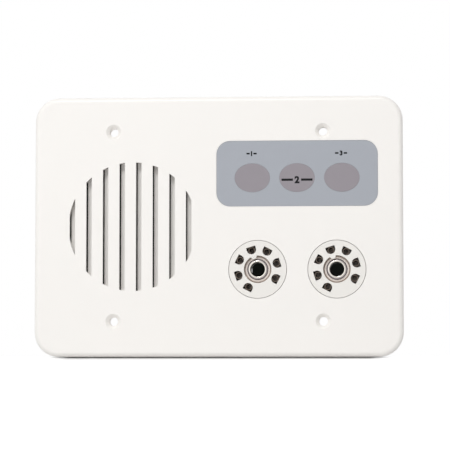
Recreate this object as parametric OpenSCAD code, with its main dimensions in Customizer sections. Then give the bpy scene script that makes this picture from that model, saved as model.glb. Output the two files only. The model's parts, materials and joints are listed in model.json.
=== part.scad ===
// Nurse call patient station: a moulded three-gang wall plate with a slotted
// speaker grille, three oval call keys under a printed overlay, and two round
// call cord sockets. The working parts hang behind the plate, inside the wall box.
//
// Every module draws in the panel frame: x to the right, y up, z out of the wall
// towards the room, with z = 0 on the wall. facing() turns that upright.

/* [Face plate] */
// Width of the plate
plate_w = 161.9; // [158:0.1:180]
// Height of the plate
plate_h = 114.3; // [112:0.1:130]
// Depth from the wall to the front face
plate_d = 7; // [6.8:0.1:9]
// Radius of the corners, seen from the front
corner_r = 10.8; // [6:0.1:12]
// Radius that rounds the front edge into the sides
edge_r = 2.3; // [1:0.1:2.5]
// Thickness of the front wall
front_t = 2.6; // [2.2:0.1:3]
// Thickness of the side walls
rim_t = 2.4; // [1.6:0.1:3.2]

/* [Box screw holes] */
// Distance between the left and right holes, two gangs of a wall box
box_pitch_x = 92.08; // [90:0.01:94]
// Distance between the upper and lower holes
box_pitch_y = 83.34; // [82:0.01:88]
// Diameter of each hole
box_hole_d = 3.9; // [3.4:0.1:4.6]
// Diameter of the countersink at the front face
box_sink_d = 6.75; // [6:0.05:7.5]
// Depth of the countersink
box_sink_h = 1.65; // [1:0.05:2]
// Diameter of the tube that carries each hole back to the wall
box_boss_d = 8.4; // [7:0.1:9]

/* [Speaker grille] */
// Distance of the grille's centre to the left of the plate's centre
grille_x = 37.6; // [36.5:0.1:39]
// Diameter of the circle that the slots fill
grille_d = 56.6; // [52:0.1:57]
// Thickness of the front wall at the slots
grille_t = 1.6; // [1.2:0.1:2]
// Number of slots
slot_count = 8; // [6:1:8]
// Distance from slot to slot
slot_pitch = 7.33; // [7:0.01:7.4]
// Width of a slot
slot_w = 2.4; // [1.8:0.1:3]
// Distance of the row of slots to the left of the circle's centre
slot_shift = 0.95; // [0:0.05:1.5]
// Thickness of the guard behind the slots
guard_t = 2.2; // [1.8:0.1:2.4]
// Width of a guard rib
rib_w = 1.7; // [1.6:0.1:2.6]
// Distance from the front face back to the guard ribs
rib_depth = 3.7; // [3.2:0.1:3.8]

/* [Speaker] */
// How far the speaker's flange reaches past the grille's circle
flange_reach = 4.7; // [4.2:0.1:5.2]
// Thickness of the foam gasket
gasket_t = 0.7; // [0.5:0.1:0.9]
// Depth of the basket from its flange to its foot
basket_h = 11.2; // [10.6:0.1:13]
// Diameter of the magnet
magnet_d = 32; // [30:0.5:36]
// Thickness of the magnet
magnet_h = 6; // [5:0.1:8]
// Diameter of the pole inside the voice coil
pole_d = 12.4; // [11:0.1:12.6]

/* [Overlay and keys] */
// Distance of the overlay, sockets and board to the right of the plate's centre
column_x = 34.7; // [34:0.1:35.5]
// Width of the printed overlay
overlay_w = 70.5; // [68:0.1:74]
// Height of the printed overlay
overlay_h = 28.7; // [27:0.1:30]
// Corner radius of the overlay
overlay_r = 5.9; // [4:0.1:8]
// Thickness of the overlay
overlay_t = 0.5; // [0.3:0.05:0.8]
// Height of the overlay's centre above the plate's centre
overlay_y = 23; // [22:0.1:23.6]
// Distance from key to key
key_pitch = 19.6; // [18.8:0.1:20.4]
// Width of a key
key_w = 15.5; // [13.5:0.1:15.8]
// Height of a key
key_h = 12.6; // [11:0.1:14]
// Distance of the keys' centres below the overlay's centre
key_drop = 1.9; // [1:0.1:2.5]
// How far a key travels
key_travel = 0.6; // [0.3:0.05:0.8]

/* [Cord sockets] */
// Distance of the sockets' centres below the plate's centre
socket_y = 19; // [18:0.1:19.6]
// Distance from socket to socket
socket_pitch = 34.6; // [33.6:0.1:36]
// Diameter of a socket's front disc
socket_d = 25.2; // [24.6:0.1:25.6]
// Diameter of the round recess around the jack's sleeve
recess_d = 12; // [11.4:0.1:12.4]
// Depth of that recess
recess_h = 3; // [2:0.1:3.4]
// Bore of the quarter-inch jack's sleeve
jack_bore_d = 6.4; // [6.35:0.05:6.6]
// Outer diameter of the sleeve
sleeve_d = 7.7; // [7.4:0.1:8]
// Radius of the ring of contact holes, measured to their round centres
contact_ring_r = 9.05; // [8.95:0.01:9.3]
// Diameter of a contact hole
contact_hole_d = 4.1; // [3.8:0.1:4.3]
// Distance from that centre out to the flat side of the hole
contact_flat = 1.25; // [0.8:0.05:1.5]

/* [Circuit board] */
// Width of the board
board_w = 68; // [66:0.5:69]
// Height of the board
board_h = 70; // [69:0.5:72]
// Thickness of the board
board_t = 1.6; // [1.2:0.1:2]
// Distance from the wall back to the board's front
board_z = 10; // [9.6:0.1:11]

/* [Hidden] */
$fn = 72;
// How far a cutting shape runs past what it cuts
over = 1;
// Gap between pieces that slip past each other
slip = 0.2;
// Gap round a piece that is let into another
fit_gap = 0.1;
// Gap between a key and its window
key_gap = 0.15;
// Gap between a screw's shank and its pilot hole
thread_gap = 0.05;
// Gap between glued pieces
glue_gap = 0.05;
// Gap between a moving piece and its stop
rest_gap = 0.1;
// Depth that a boss is sunk into the front wall
boss_sink = front_t / 2;

// Levels through the plate, measured from the wall
z_face = plate_d;
z_skin = plate_d - front_t;
z_rib = z_face - rib_depth;
z_guard = z_skin - guard_t;
z_gasket = z_guard - gasket_t;
z_board = -board_z;
z_board_back = z_board - board_t;

// Ring of the plate round the speaker, and the guard in it
ring_t = 1.6;
speaker_d = grille_d + 2 * flange_reach;
guard_in_r = grille_d / 2 + slip;
guard_out_r = speaker_d / 2;
ring_in_r = guard_out_r + slip;
ring_out_r = ring_in_r + ring_t;

// Speaker basket: its flange, skirt, sloping wall, ledge and foot
basket_t = 0.8;
flange_t = 1;
flange_w = 4.8;
skirt_h = 1.4;
foot_r = 15.6;
ledge_w = 2.2;
ledge_h = 1.2;
vent_w = 9;
vent_count = 6;
surround_t = 0.3;
mouth_r = speaker_d / 2 - flange_w;
ledge_r = foot_r - ledge_w;
z_lip = z_gasket - surround_t;
z_flange = z_lip - flange_t;
z_skirt = z_flange - skirt_h;
z_foot = z_lip - basket_h;
z_ledge = z_foot + basket_t + ledge_h;

// Voice coil, pole, plates and magnet
coil_gap = 0.25;
former_t = 0.15;
former_tail = 0.4;
winding_t = 0.3;
winding_h = 2.8;
top_plate_t = 2;
plate_inset = 1;
magnet_hole_gap = 2;
yoke_t = 2.2;
yoke_bevel = 0.8;
former_in_r = pole_d / 2 + coil_gap;
former_r = former_in_r + former_t;
winding_r = former_r + winding_t;
top_hole_r = winding_r + coil_gap;
hub_r = top_hole_r + basket_t;
z_top_plate = z_foot - top_plate_t;
z_magnet = z_top_plate - magnet_h;
z_yoke = z_magnet - yoke_t;
z_winding = z_foot - top_plate_t / 2 - winding_h / 2;

// Spider: a waved disc between the voice coil and the basket's ledge
spider_t = 0.3;
spider_wave = 0.6;
spider_waves = 6;
spider_in_r = former_r + glue_gap;
z_spider_top = z_ledge + spider_t + spider_wave;

// Cone, the surround's roll round it, and the dust cap
cone_t = 0.4;
cone_edge_w = 1.2;
cone_edge_gap = 3.8;
neck_gap = 0.5;
neck_h = 0.8;
cap_r = 8;
cap_h = 2.4;
cap_t = 0.3;
roll_gap = 0.5;
cone_edge_r = mouth_r - cone_edge_gap;
neck_r = former_r + glue_gap;
z_neck = z_spider_top + neck_gap;
z_former_top = z_neck + neck_h;
roll_in_r = cone_edge_r + slip;
roll_out_r = mouth_r - roll_gap;
cone_slope = (z_lip - cone_t - z_neck) / (cone_edge_r - cone_edge_w - neck_r);
z_cap = z_neck + (cap_r - neck_r) * cone_slope + 2 * cone_t;

// Terminal strip on the back of the flange, with two tags
strip_angle = 60;
strip_l = 13;
strip_w = 3.4;
strip_t = 0.8;
tag_pitch = 7;
tag_w = 2.2;
tag_l = 3;
tag_t = 0.4;
tag_h = 3.2;
tag_hole_d = 1;
strip_r = (mouth_r + basket_t + speaker_d / 2) / 2;
z_strip = z_flange - strip_t;
z_tag = z_strip - tag_t;

// Clamps that hold the speaker's flange
clamp_reach = 2.2;
clamp_t = 1;
clamp_w = 7;
clamp_boss_d = 6.4;
clamp_count = 3;
clamp_boss_r = ring_out_r + clamp_boss_d / 2 - ring_t / 2;
z_clamp = z_flange - clamp_t;

// Small screws with a pan head and a cross recess
small_head_d = 5;
small_head_h = 1.7;
small_head_bevel = 0.5;
small_shank_d = 2.2;
small_clear_d = 2.8;
cross_w = 0.7;
cross_l = 2.6;
cross_h = 0.9;
screw_tip_gap = 0.4;
clamp_screw_l = 3.6;
board_screw_l = 8;
socket_screw_l = 5;

// Keys: face, hollow, flange and stem, and the plunger that each one pushes
key_face_t = 1.2;
key_wall = 1.4;
key_lip = 1.1;
key_flange_t = 1;
stem_d = 4;
housing_w = 6;
housing_h = 4;
housing_floor = 0.5;
plunger_d = 3.3;
plunger_gap = 0.1;
plunger_rise = 1.5;
key_y = overlay_y - key_drop;
z_key = z_skin - rest_gap - key_flange_t;
z_housing = z_board + housing_h;
z_plunger = z_housing + plunger_rise;
z_plunger_foot = z_board + housing_floor + key_travel + rest_gap;

// Lamps beside the switches
lamp_d = 3;
lamp_rim_d = 3.6;
lamp_rim_h = 0.8;
lamp_h = 1.2;
lamp_x = housing_w / 2 + lamp_rim_d / 2 + rest_gap + slip;

// Socket body: disc, flange, two ears, barrel, recess with its tab, and wells
barrel_h = 13;
socket_flange_w = 1.2;
socket_flange_t = 1.4;
ear_r = 17;
ear_w = 6;
ear_t = 1.6;
ear_drop = 2.6;
socket_boss_d = 5.6;
collar_d = 10.8;
collar_h = 1.2;
socket_floor_t = 4;
cavity_r = 6.6;
tab_angle = 107;
tab_d = 2.6;
well_h = 9.2;
well_count = 8;
well_left_out = 6;
well_start = 17.5;
z_barrel = z_face - barrel_h;
z_ear = z_skin - ear_drop;
z_recess = z_face - recess_h;
z_collar = z_recess + collar_h;
z_cavity = z_recess - socket_floor_t;
z_well = z_face - well_h;

// Spring contacts in the wells, with tails soldered through the board
clip_d = contact_hole_d / 2 + contact_flat - 2 * slip;
clip_shift = (contact_hole_d / 2 - contact_flat) / 2;
clip_t = 0.3;
clip_mouth = 1.3;
clip_drop = 1.2;
tail_w = 0.9;
tail_root = 2;
tail_out = 1.4;
tail_hole_d = 1.6;
tail_r = contact_ring_r - clip_shift + clip_d / 2 - clip_t / 2;

// Jack sleeve and nut
sleeve_drop = 0.4;
sleeve_tail = 4;
sleeve_bevel = 0.3;
sleeve_flange_d = 8.8;
sleeve_flange_t = 0.6;
nut_w = 9.6;
nut_t = 2;
z_sleeve = z_face - sleeve_drop;
z_sleeve_back = z_cavity - sleeve_tail;

// Jack frame: a plate on the sleeve, an arm through the board, a step and a shelf.
// Drops are distances below the jack's axis, depths are distances behind the wall.
// The tip spring is held behind and reaches forward, and its bend meets the waist of the plug's tip.
frame_t = 0.8;
arm_w = 4;
arm_drop = 5.2;
step_gap = 2;
shelf_drop = 9.6;
jack_window_d = 13.8;
frame_depth = -z_cavity;
step_depth = -z_board_back + step_gap;

// Stack on the shelf: insulators, the tip spring's root and the break contact
tip_reach = 26;
bend_drop = 2.7;
bend_out = 5;
spring_tail_out = 1.8;
spring_tail_drop = 6.5;
stack_l = 6;
stack_w = 5;
insulator_t = 0.8;
leaf_t = 0.4;
leaf_w = 4;
leaf_gap = 0.3;
stack_screw_d = 1.4;
stack_screw_head_d = 2.4;
stack_screw_head_h = 1.1;
stack_screw_pitch = 3.2;
stack_screw_out = 0.6;
stack_hole_d = 2;
lug_l = 2.6;
lug_w = 2;
lug_hole_d = 0.9;
bend_depth = tip_reach - z_face;
stack_depth = bend_depth + bend_out;
stack_end = stack_depth + stack_l;
stack_mid = stack_depth + stack_l / 2;
spring_drop = shelf_drop - insulator_t - leaf_gap - leaf_t / 2;
break_drop = shelf_drop - 2 * insulator_t - 2 * leaf_gap - 3 * leaf_t / 2;
stack_top = break_drop - leaf_t / 2 - insulator_t;
break_start = stack_depth - bend_out * (spring_drop - break_drop) / (spring_drop - bend_drop) + leaf_t;

// Board: corner radius, the inset of its screws, and its posts
board_r = 2;
post_inset = 3.4;
post_d = 6.4;

// Terminal block for the building's wires
block_pitch = 5;
block_count = 6;
block_w = 8.2;
block_h = 10.5;
block_inset = 2;
block_well_d = 3.6;
block_well_h = 3.2;
block_window_w = 3.2;
block_window_h = 3.6;
block_window_l = 5;
block_window_z = 2;
block_screw_d = 3.2;
block_screw_h = 2;
block_slot_w = 0.6;
block_slot_h = 0.8;
block_y = board_h / 2 - block_inset - block_w / 2;
z_block = z_board_back - block_h;
z_window = z_board_back - block_window_z - block_window_h;

// Relay, chips, capacitors and resistors, by their places from the board's centre
relay_size = [15.4, 10.4, 11];
relay_place = [-17, 9.5];
relay_bevel = 0.6;
large_chip_size = [10, 10, 1.5];
large_chip_place = [-1, 10];
small_chip_size = [5, 6, 1.5];
small_chip_place = [9.5, 9];
large_cap_d = 8;
large_cap_h = 11;
large_cap_place = [27.5, 7];
small_cap_d = 6.3;
small_cap_h = 8;
small_cap_place = [18.5, 8];
cap_bead = 0.3;
cap_groove_z = 1.6;
cap_groove_h = 0.8;
resistor_size = [3.2, 1.6, 0.7];
resistor_count = 8;
resistor_pitch = 6.5;
resistor_y = 1.2;

// Speaker's header on the board, and the plug in it
header_size = [5.8, 7.5, 6];
header_place = [-30, 16];
header_wall = 0.8;
header_floor = 1.5;
plug_out = 2.5;

// Leads from the plug to the tags
lead_d = 1.3;
lead_sides = 8;
lead_steps = 3;
red_route = [
  [4.7, 17.3, -20.1], [4.7, 17.3, -21.1], [4.7, 17.3, -22.1], [3.5, 17.9, -25.2], [0, 19.5, -27.4],
  [-5, 21.5, -27], [-10.5, 24, -23.6], [-16, 26.4, -18], [-21, 28, -12.4], [-24.4, 28.6, -8.4],
  [-25.1, 28.6, -6], [-25.1, 28.6, -5.1], [-25.1, 28.6, -4.2]
];
black_route = [
  [4.7, 14.7, -20.1], [4.7, 14.7, -21.1], [4.7, 14.7, -22.1], [3.7, 15.1, -24.4], [0.8, 16.2, -26],
  [-4, 18.2, -25.4], [-9, 20.6, -22], [-13.4, 22.8, -17], [-16.8, 24.4, -12], [-18.7, 25.1, -8.4],
  [-19.1, 25.1, -6], [-19.1, 25.1, -5.1], [-19.1, 25.1, -4.2]
];

// Turns the panel frame upright, so that the face looks along -Y
module facing() rotate([90, 0, 0]) children();

// Places
module at_speaker() translate([-grille_x, 0, 0]) children();
module at_key(i) translate([column_x + i * key_pitch, key_y, 0]) children();
module at_socket(side) translate([column_x + side * socket_pitch / 2, -socket_y, 0]) children();
module at_sockets() for (side = [-1, 1]) at_socket(side) children();
module at_board() translate([column_x, 0, 0]) children();
module at_ears() for (end = [-1, 1]) translate([0, end * ear_r, 0]) children();
module at_clamps() for (i = [0 : clamp_count - 1]) rotate([0, 0, i * 360 / clamp_count]) children();
module at_wells() for (i = [0 : well_count - 1]) if (i != well_left_out)
  rotate([0, 0, well_start + i * 360 / well_count]) translate([contact_ring_r, 0, 0]) children();
module at_posts() for (sx = [-1, 1], sy = [-1, 1])
  translate([sx * (board_w / 2 - post_inset), sy * (board_h / 2 - post_inset), 0]) children();

// Shapes
module rounded_rect(w, h, r) {
  square([w - 2 * r, h], center = true);
  square([w, h - 2 * r], center = true);
  for (sx = [-1, 1], sy = [-1, 1]) translate([sx * (w / 2 - r), sy * (h / 2 - r)]) circle(r);
}
module oval(w, h) polygon([for (i = [0 : $fn - 1]) [w / 2 * cos(i * 360 / $fn), h / 2 * sin(i * 360 / $fn)]]);
module slab(z, top) translate([0, 0, z]) linear_extrude(top - z) children();
module disc(r, z, top) translate([0, 0, z]) cylinder(r = r, h = top - z);
module ring(r_out, r_in, z, top) difference() {
  disc(r_out, z, top);
  disc(r_in, z - over, top + over);
}
module block(size, z) translate([-size[0] / 2, -size[1] / 2, z]) cube(size);

// A pan-head screw whose head's seat is at z = 0 and whose shank runs along +z
module small_screw(l) difference() {
  union() {
    disc(small_head_d / 2, -small_head_h + small_head_bevel, 0);
    translate([0, 0, -small_head_h])
      cylinder(r1 = small_head_d / 2 - small_head_bevel, r2 = small_head_d / 2, h = small_head_bevel);
    disc(small_shank_d / 2, 0, l);
  }
  for (turn = [0, 90]) rotate([0, 0, turn]) block([cross_l, cross_w, cross_h + over], -small_head_h - over);
}
module pilot(z, depth) disc(small_shank_d / 2 + thread_gap, z - over, z + depth);

// A thin leaf seen from its side: depths run back from the wall, drops run down from the jack's axis
module leaf_side(w) rotate([0, 90, 180]) linear_extrude(w, center = true) children();
module stripe(from_depth, to_depth, drop, t) polygon([
  [from_depth, drop - t / 2], [to_depth, drop - t / 2], [to_depth, drop + t / 2], [from_depth, drop + t / 2]
]);

// Face plate. Its outline is four round corners, four straight edges and the middle between them.
corner_x = plate_w / 2 - corner_r;
corner_y = plate_h / 2 - corner_r;
module edge_section() {
  square([corner_r, plate_d - edge_r]);
  square([corner_r - edge_r, plate_d]);
  translate([corner_r - edge_r, plate_d - edge_r]) circle(edge_r);
}
module plate_edge(length, away, turn)
  rotate([0, 0, turn]) translate([away, length / 2, 0])
    rotate([90, 0, 0]) linear_extrude(length) edge_section();
module plate_solid() {
  for (i = [0 : 3])
    translate([(i == 0 || i == 3 ? 1 : -1) * corner_x, (i < 2 ? 1 : -1) * corner_y, 0])
      rotate([0, 0, 90 * i]) rotate_extrude(angle = 90) edge_section();
  for (turn = [0, 180]) plate_edge(2 * corner_y, corner_x, turn);
  for (turn = [90, 270]) plate_edge(2 * corner_x, corner_y, turn);
  slab(0, plate_d) square([2 * corner_x, 2 * corner_y], center = true);
}
module at_box_holes() for (sx = [-1, 1], sy = [-1, 1])
  translate([sx * box_pitch_x / 2, sy * box_pitch_y / 2, 0]) children();
module slots() intersection() {
  circle(d = grille_d);
  for (i = [0 : slot_count - 1])
    translate([(i - (slot_count - 1) / 2) * slot_pitch - slot_shift, 0])
      square([slot_w, grille_d], center = true);
}
module face_plate() color("white") difference() {
  union() {
    difference() {
      plate_solid();
      slab(-over, z_skin) rounded_rect(plate_w - 2 * rim_t, plate_h - 2 * rim_t, corner_r - rim_t);
    }
    at_box_holes() disc(box_boss_d / 2, 0, z_skin + boss_sink);
    at_speaker() ring(ring_out_r, ring_in_r, z_flange, z_skin);
    at_speaker() at_clamps()
      translate([clamp_boss_r, 0, 0]) disc(clamp_boss_d / 2, z_flange, z_skin + boss_sink);
    at_sockets() at_ears() disc(socket_boss_d / 2, z_ear, z_skin + boss_sink);
    at_board() at_posts() disc(post_d / 2, z_board, z_skin + boss_sink);
  }
  at_box_holes() {
    disc(box_hole_d / 2, -over, z_face + over);
    translate([0, 0, z_face - box_sink_h]) cylinder(d1 = box_hole_d, d2 = box_sink_d, h = box_sink_h);
  }
  at_speaker() disc(ring_in_r, z_flange - over, z_skin);
  at_speaker() disc(guard_in_r, z_skin - over, z_face - grille_t);
  at_speaker() slab(z_skin, z_face + over) slots();
  at_speaker() at_clamps() translate([clamp_boss_r, 0, 0])
    pilot(z_flange, clamp_screw_l - clamp_t + screw_tip_gap);
  translate([column_x, overlay_y, 0]) slab(z_face - overlay_t, z_face + over)
    rounded_rect(overlay_w + 2 * fit_gap, overlay_h + 2 * fit_gap, overlay_r + fit_gap);
  for (i = [-1 : 1]) at_key(i) slab(-over, z_face + over) oval(key_w + 2 * key_gap, key_h + 2 * key_gap);
  at_sockets() disc(socket_d / 2 + slip, -over, z_face + over);
  at_sockets() at_ears() pilot(z_ear, socket_screw_l - ear_t + screw_tip_gap);
  at_board() at_posts() pilot(z_board, board_screw_l - board_t + screw_tip_gap);
}

// Guard behind the slots: a ring, and one rib behind each slot
module grille_guard() color("gainsboro") at_speaker() {
  ring(guard_out_r, guard_in_r, z_guard, z_skin);
  intersection() {
    disc(guard_in_r + slip, z_guard, z_skin);
    for (i = [0 : slot_count - 1])
      translate([(i - (slot_count - 1) / 2) * slot_pitch - slot_shift, 0, 0])
        block([rib_w, 2 * guard_out_r, z_rib - z_guard], z_guard);
  }
}

// Printed overlay with its three openings
module overlay() color([0.67, 0.69, 0.71]) difference() {
  translate([column_x, overlay_y, 0])
    slab(z_face - overlay_t, z_face) rounded_rect(overlay_w, overlay_h, overlay_r);
  for (i = [-1 : 1]) at_key(i)
    slab(z_face - overlay_t - over, z_face + over) oval(key_w + 2 * key_gap, key_h + 2 * key_gap);
}

// Key: a hollow oval cap with a flange that stops it behind the front wall, and a stem
module key(i) color([0.61, 0.58, 0.6]) at_key(i) {
  difference() {
    union() {
      slab(z_key, z_face) oval(key_w, key_h);
      slab(z_key, z_key + key_flange_t) oval(key_w + 2 * key_lip, key_h + 2 * key_lip);
    }
    slab(z_key - over, z_face - key_face_t) oval(key_w - 2 * key_wall, key_h - 2 * key_wall);
  }
  disc(stem_d / 2, z_plunger, z_face - key_face_t);
}
module plunger(i) color("dimgray") at_key(i) disc(plunger_d / 2, z_plunger_foot, z_plunger);
module switch_housings() color([0.15, 0.15, 0.16]) for (i = [-1 : 1]) at_key(i) difference() {
  block([housing_w, housing_w, housing_h], z_board);
  disc(plunger_d / 2 + plunger_gap, z_board + housing_floor, z_housing + over);
}
module key_lamps() color("ivory") for (i = [-1 : 1]) at_key(i) translate([lamp_x, 0, 0]) {
  disc(lamp_rim_d / 2, z_board, z_board + lamp_rim_h);
  disc(lamp_d / 2, z_board, z_board + lamp_rim_h + lamp_h);
  translate([0, 0, z_board + lamp_rim_h + lamp_h]) sphere(d = lamp_d);
}

// Speaker
module speaker_gasket() color([0.2, 0.2, 0.2]) at_speaker() ring(speaker_d / 2, mouth_r, z_gasket, z_guard);
module speaker_basket() color("silver") at_speaker() difference() {
  rotate_extrude() polygon([
    [mouth_r, z_lip], [speaker_d / 2, z_lip], [speaker_d / 2, z_flange], [mouth_r + basket_t, z_flange],
    [mouth_r + basket_t, z_skirt], [foot_r + basket_t, z_foot], [hub_r, z_foot], [hub_r, z_foot + basket_t],
    [ledge_r, z_foot + basket_t], [ledge_r, z_ledge], [foot_r, z_ledge], [mouth_r, z_skirt]
  ]);
  for (i = [0 : vent_count - 1]) rotate([0, 0, (i + 1 / 2) * 360 / vent_count])
    translate([foot_r + basket_t, -vent_w / 2, z_ledge])
      cube([mouth_r, vent_w, z_skirt - z_ledge]);
}
module speaker_surround() color([0.12, 0.12, 0.12]) at_speaker() rotate_extrude() {
  translate([roll_out_r - surround_t, z_lip]) square([speaker_d / 2 - roll_out_r + surround_t, surround_t]);
  translate([cone_edge_r - cone_edge_w, z_lip])
    square([roll_in_r + surround_t - cone_edge_r + cone_edge_w, surround_t]);
  translate([(roll_in_r + roll_out_r) / 2, z_gasket]) intersection() {
    difference() {
      circle((roll_out_r - roll_in_r) / 2);
      circle((roll_out_r - roll_in_r) / 2 - surround_t);
    }
    translate([-roll_out_r, -roll_out_r]) square([2 * roll_out_r, roll_out_r]);
  }
}
module speaker_cone() color([0.1, 0.1, 0.1]) at_speaker() rotate_extrude() polygon([
  [neck_r, z_neck], [cone_edge_r - cone_edge_w, z_lip - cone_t], [cone_edge_r, z_lip - cone_t],
  [cone_edge_r, z_lip], [cone_edge_r - cone_edge_w - cone_t, z_lip], [neck_r, z_neck + cone_t]
]);
module dust_cap() color([0.1, 0.1, 0.1]) at_speaker() {
  dome_r = (cap_r * cap_r + cap_h * cap_h) / (2 * cap_h);
  translate([0, 0, z_cap + cap_h - dome_r]) rotate_extrude() intersection() {
    difference() {
      circle(dome_r);
      circle(dome_r - cap_t);
    }
    translate([0, dome_r - cap_h]) square([dome_r, cap_h]);
  }
}
module voice_coil() color([0.72, 0.45, 0.2]) at_speaker() {
  ring(former_r, former_in_r, z_winding - former_tail, z_former_top);
  ring(winding_r, former_r - former_t / 2, z_winding, z_winding + winding_h);
}
function wave_line(rise) = [for (i = [0 : spider_waves])
  [spider_in_r + (ledge_r - spider_in_r) * i / spider_waves, z_ledge + rise + (i % 2) * spider_wave]];
function reversed(list) = [for (i = [len(list) - 1 : -1 : 0]) list[i]];
module speaker_spider() color([0.75, 0.6, 0.3]) at_speaker() rotate_extrude() polygon(concat(
  wave_line(0), [[foot_r - slip, z_ledge], [foot_r - slip, z_ledge + spider_t]], reversed(wave_line(spider_t))
));
module speaker_top_plate() color("silver") at_speaker()
  ring(magnet_d / 2 - plate_inset, top_hole_r, z_top_plate, z_foot);
module speaker_magnet() color([0.2, 0.2, 0.22]) at_speaker()
  ring(magnet_d / 2, top_hole_r + magnet_hole_gap, z_magnet, z_top_plate);
module speaker_yoke() color("silver") at_speaker() {
  disc(pole_d / 2, z_magnet, z_foot);
  disc(magnet_d / 2 - plate_inset, z_yoke + yoke_bevel, z_magnet);
  translate([0, 0, z_yoke])
    cylinder(r1 = magnet_d / 2 - plate_inset - yoke_bevel, r2 = magnet_d / 2 - plate_inset, h = yoke_bevel);
}
module at_strip() at_speaker() rotate([0, 0, strip_angle]) translate([strip_r, 0, 0]) children();
module speaker_terminal_strip() color([0.45, 0.28, 0.12])
  at_strip() block([strip_w, strip_l, strip_t], z_strip);
module speaker_tags() color("gainsboro") at_strip() for (end = [-1, 1])
  translate([0, end * tag_pitch / 2, 0]) {
  block([tag_l, tag_w, tag_t], z_tag);
  difference() {
    block([tag_t, tag_w, tag_h], z_tag - tag_h);
    translate([0, 0, z_tag - tag_h / 2]) rotate([0, 90, 0])
      cylinder(d = tag_hole_d, h = tag_w, center = true);
  }
}
module speaker_clamps() color("silver") at_speaker() at_clamps() difference() {
  slab(z_clamp, z_flange) {
    translate([speaker_d / 2 - clamp_reach, -clamp_w / 2])
      square([clamp_boss_r - speaker_d / 2 + clamp_reach, clamp_w]);
    translate([clamp_boss_r, 0]) circle(d = clamp_w);
  }
  translate([clamp_boss_r, 0, 0]) disc(small_clear_d / 2, z_clamp - over, z_flange + over);
}
module clamp_screws() color("silver") at_speaker() at_clamps()
  translate([clamp_boss_r, 0, z_clamp]) small_screw(clamp_screw_l);

// Cord sockets
module well() {
  intersection() {
    circle(d = contact_hole_d);
    translate([-contact_hole_d, -contact_hole_d / 2]) square(contact_hole_d);
  }
  translate([0, -contact_hole_d / 2]) square([contact_flat, contact_hole_d]);
}
module socket_body(side) color("white") at_socket(side) difference() {
  union() {
    disc(socket_d / 2, z_barrel, z_face);
    disc(socket_d / 2 + socket_flange_w, z_skin - socket_flange_t, z_skin);
    slab(z_ear - ear_t, z_ear) {
      square([ear_w, 2 * ear_r], center = true);
      at_ears() circle(d = ear_w);
    }
  }
  difference() {
    disc(recess_d / 2, z_recess, z_face + over);
    rotate([0, 0, tab_angle]) translate([recess_d / 2, 0, 0])
      disc(tab_d / 2, z_recess - over, z_face + 2 * over);
    disc(collar_d / 2, z_recess - over, z_collar);
  }
  disc(sleeve_d / 2 + fit_gap, z_cavity - over, z_face);
  disc(cavity_r, z_barrel - over, z_cavity);
  at_wells() slab(z_well, z_face + over) well();
  at_wells() translate([tail_r - contact_ring_r, 0, 0])
    block([clip_t + 2 * slip, tail_w + 2 * slip, z_well - z_barrel + 2 * over], z_barrel - over);
  at_ears() disc(small_clear_d / 2, z_ear - ear_t - over, z_ear + over);
}
module socket_contacts(side) color([0.45, 0.36, 0.24]) at_socket(side) at_wells() {
  translate([-clip_shift, 0, 0]) slab(z_well, z_face - clip_drop) difference() {
    circle(d = clip_d);
    circle(d = clip_d - 2 * clip_t);
    translate([-clip_d, -clip_mouth / 2]) square([clip_d, clip_mouth]);
  }
  translate([tail_r - contact_ring_r, 0, 0])
    block([clip_t, tail_w, z_well + tail_root - z_board_back + tail_out], z_board_back - tail_out);
}
module jack_sleeve(side) color("silver") at_socket(side) difference() {
  union() {
    disc(sleeve_d / 2, z_sleeve_back, z_sleeve);
    disc(sleeve_flange_d / 2, z_collar, z_collar + sleeve_flange_t);
  }
  disc(jack_bore_d / 2, z_sleeve_back - over, z_sleeve + over);
  translate([0, 0, z_sleeve - sleeve_bevel])
    cylinder(r1 = jack_bore_d / 2, r2 = jack_bore_d / 2 + sleeve_bevel, h = sleeve_bevel);
}
module jack_nut(side) color("silver") at_socket(side) difference() {
  translate([0, 0, z_cavity - frame_t - nut_t]) cylinder(d = nut_w / cos(30), h = nut_t, $fn = 6);
  disc(sleeve_d / 2 + thread_gap, z_sleeve_back - over, z_cavity);
}
module jack_frame(side) color("gainsboro") at_socket(side) {
  ring(cavity_r - slip, sleeve_d / 2 + fit_gap, z_cavity - frame_t, z_cavity);
  difference() {
    leaf_side(arm_w) polygon([
      [frame_depth, arm_drop], [step_depth + frame_t, arm_drop], [step_depth + frame_t, shelf_drop],
      [stack_end, shelf_drop], [stack_end, shelf_drop + frame_t], [step_depth, shelf_drop + frame_t],
      [step_depth, arm_drop + frame_t], [frame_depth, arm_drop + frame_t]
    ]);
    at_stack_screws() disc(stack_screw_d / 2 + thread_gap, shelf_drop - over, shelf_drop + frame_t + over);
  }
}
module at_stack_screws() for (end = [-1, 1])
  translate([0, 0, -stack_mid + end * stack_screw_pitch / 2]) rotate([90, 0, 0]) children();
module lug(drop) translate([leaf_w / 2, -drop - leaf_t / 2, -stack_mid - lug_w / 2]) difference() {
  cube([lug_l, leaf_t, lug_w]);
  translate([lug_l - lug_w / 2, leaf_t / 2, lug_w / 2]) rotate([90, 0, 0])
    cylinder(d = lug_hole_d, h = leaf_t + 2 * over, center = true);
}
module jack_insulators(side) color([0.35, 0.2, 0.1]) at_socket(side) difference() {
  for (top = [shelf_drop - insulator_t, break_drop + leaf_t / 2, stack_top])
    leaf_side(stack_w) stripe(stack_depth, stack_end, top + insulator_t / 2, insulator_t);
  at_stack_screws() disc(stack_screw_d / 2 + thread_gap, stack_top - over, shelf_drop + over);
}
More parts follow.
